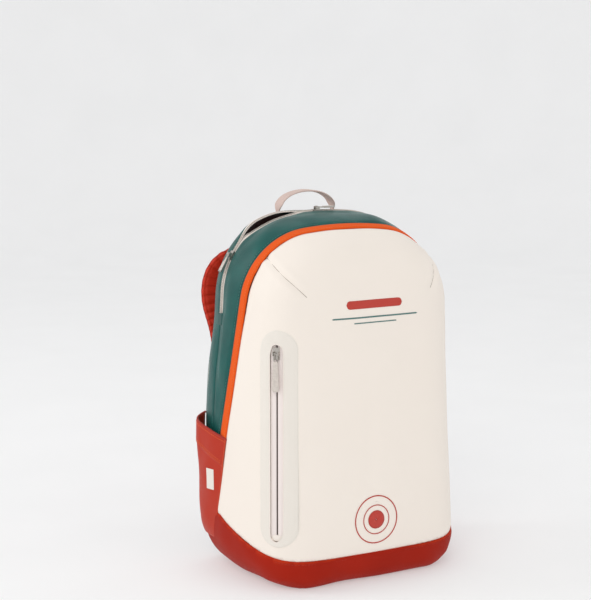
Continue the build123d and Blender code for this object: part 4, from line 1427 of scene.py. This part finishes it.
def print_ring(name, cx, cz, r0, r1, material, lift=0.28, n=140):
    w = np.linspace(0, 2 * np.pi, n, endpoint=False)
    r = np.linspace(r0, r1, 4)
    rr, ww = np.meshgrid(r, w, indexing="ij")
    p = drop(cx + rr * np.cos(ww), cz + rr * np.sin(ww), lift)
    obj = make_object(name, p.reshape(-1, 3), grid_faces(4, n, wrap_cols=True), p.reshape(-1, 3)[:, [0, 2]])
    thicken(obj, 0.25)
    settle(obj, material)


print_bar("Front_motif_wide", -40, 46, 372, 383, PRINT_RED)
print_bar("Front_motif_thin", -62, 70, 359.5, 361.5, PRINT_TEAL)
print_bar("Front_motif_short", -30, 36, 352.5, 354.0, PRINT_TEAL)
print_ring("Front_disc_outer", -1, 87, 31.5, 33, PRINT_RED)
print_ring("Front_disc_inner", -1, 87, 19.0, 20.2, PRINT_RED)
print_ring("Front_disc_middle", -1, 87, 0.5, 12.5, PRINT_RED)


# ------------------------------------------------------------------ floor, light, camera
for name in ("main_slider_left", "main_slider_right", "front_slider", "front_pull_link"):
    repaint(name, NICKEL)
for name in ("ladder_lock_left", "ladder_lock_right"):
    repaint(name, BLACK_NYLON)
repaint("base_board", BOARD)


def plain_floor():
    mat, tree, shader = new_material("floor_paint", 0.9, 0.0, 0.15)
    grain = node(tree, "ShaderNodeTexNoise", {"Scale": 60.0}).outputs["Fac"]
    tree.links.new(blend(tree, grain, srgb(205, 205, 205), srgb(198, 198, 198)), shader.inputs["Base Color"])
    shader.inputs["Emission Color"].default_value = (1, 1, 1, 1)
    shader.inputs["Emission Strength"].default_value = 0.36
    points, faces, n = [], [], 60
    for x in np.linspace(-6, 6, n):
        for y in np.linspace(-6, 6, n):
            points.append((x / MM, y / MM, -0.4 + 700 * max(0, math.hypot(x, y) - 3.4) ** 2))
    floor = make_object("Floor", points, grid_faces(n, n, flip=True))
    floor.data.materials.append(mat)


def area_light(name, place, aim, power, size, colour=(1, 1, 1)):
    data = bpy.data.lights.new(name, "AREA")
    data.energy, data.size, data.color = power, size, colour
    lamp = bpy.data.objects.new(name, data)
    lamp.location = place
    lamp.rotation_euler = (Vector(aim) - Vector(place)).to_track_quat("-Z", "Y").to_euler()
    bpy.context.collection.objects.link(lamp)


plain_floor()
world = bpy.data.worlds.new("studio")
bpy.context.scene.world = world
world.use_nodes = True
world.node_tree.nodes["Background"].inputs["Color"].default_value = (0.97, 0.98, 1.0, 1)
world.node_tree.nodes["Background"].inputs["Strength"].default_value = 0.6
area_light("key", (-1.9, -2.2, 2.4), (0, 0, 0.25), 21, 1.5, (1, 0.975, 0.94))
area_light("fill", (2.2, -1.9, 1.3), (0, 0, 0.2), 2.0, 2.2)
area_light("rim", (-2.2, 1.2, 1.6), (0, 0, 0.3), 12, 0.8)
area_light("top", (0.3, 0.4, 2.8), (0, 0, 0.2), 6, 1.5)

AZIMUTH, ELEVATION, DISTANCE = math.radians(-28.2), math.radians(8.5), 2.0
AIM = Vector((-0.0696, 0.0, 0.376))
camera = bpy.data.cameras.new("camera")
camera.lens, camera.sensor_width = 88.86, 36
eye = bpy.data.objects.new("camera", camera)
eye.location = AIM + DISTANCE * Vector((math.sin(AZIMUTH) * math.cos(ELEVATION),
                                        -math.cos(AZIMUTH) * math.cos(ELEVATION), math.sin(ELEVATION)))
eye.rotation_euler = (AIM - eye.location).to_track_quat("-Z", "Y").to_euler()
bpy.context.collection.objects.link(eye)
bpy.context.scene.camera = eye
bpy.context.scene.view_settings.view_transform = "Standard"
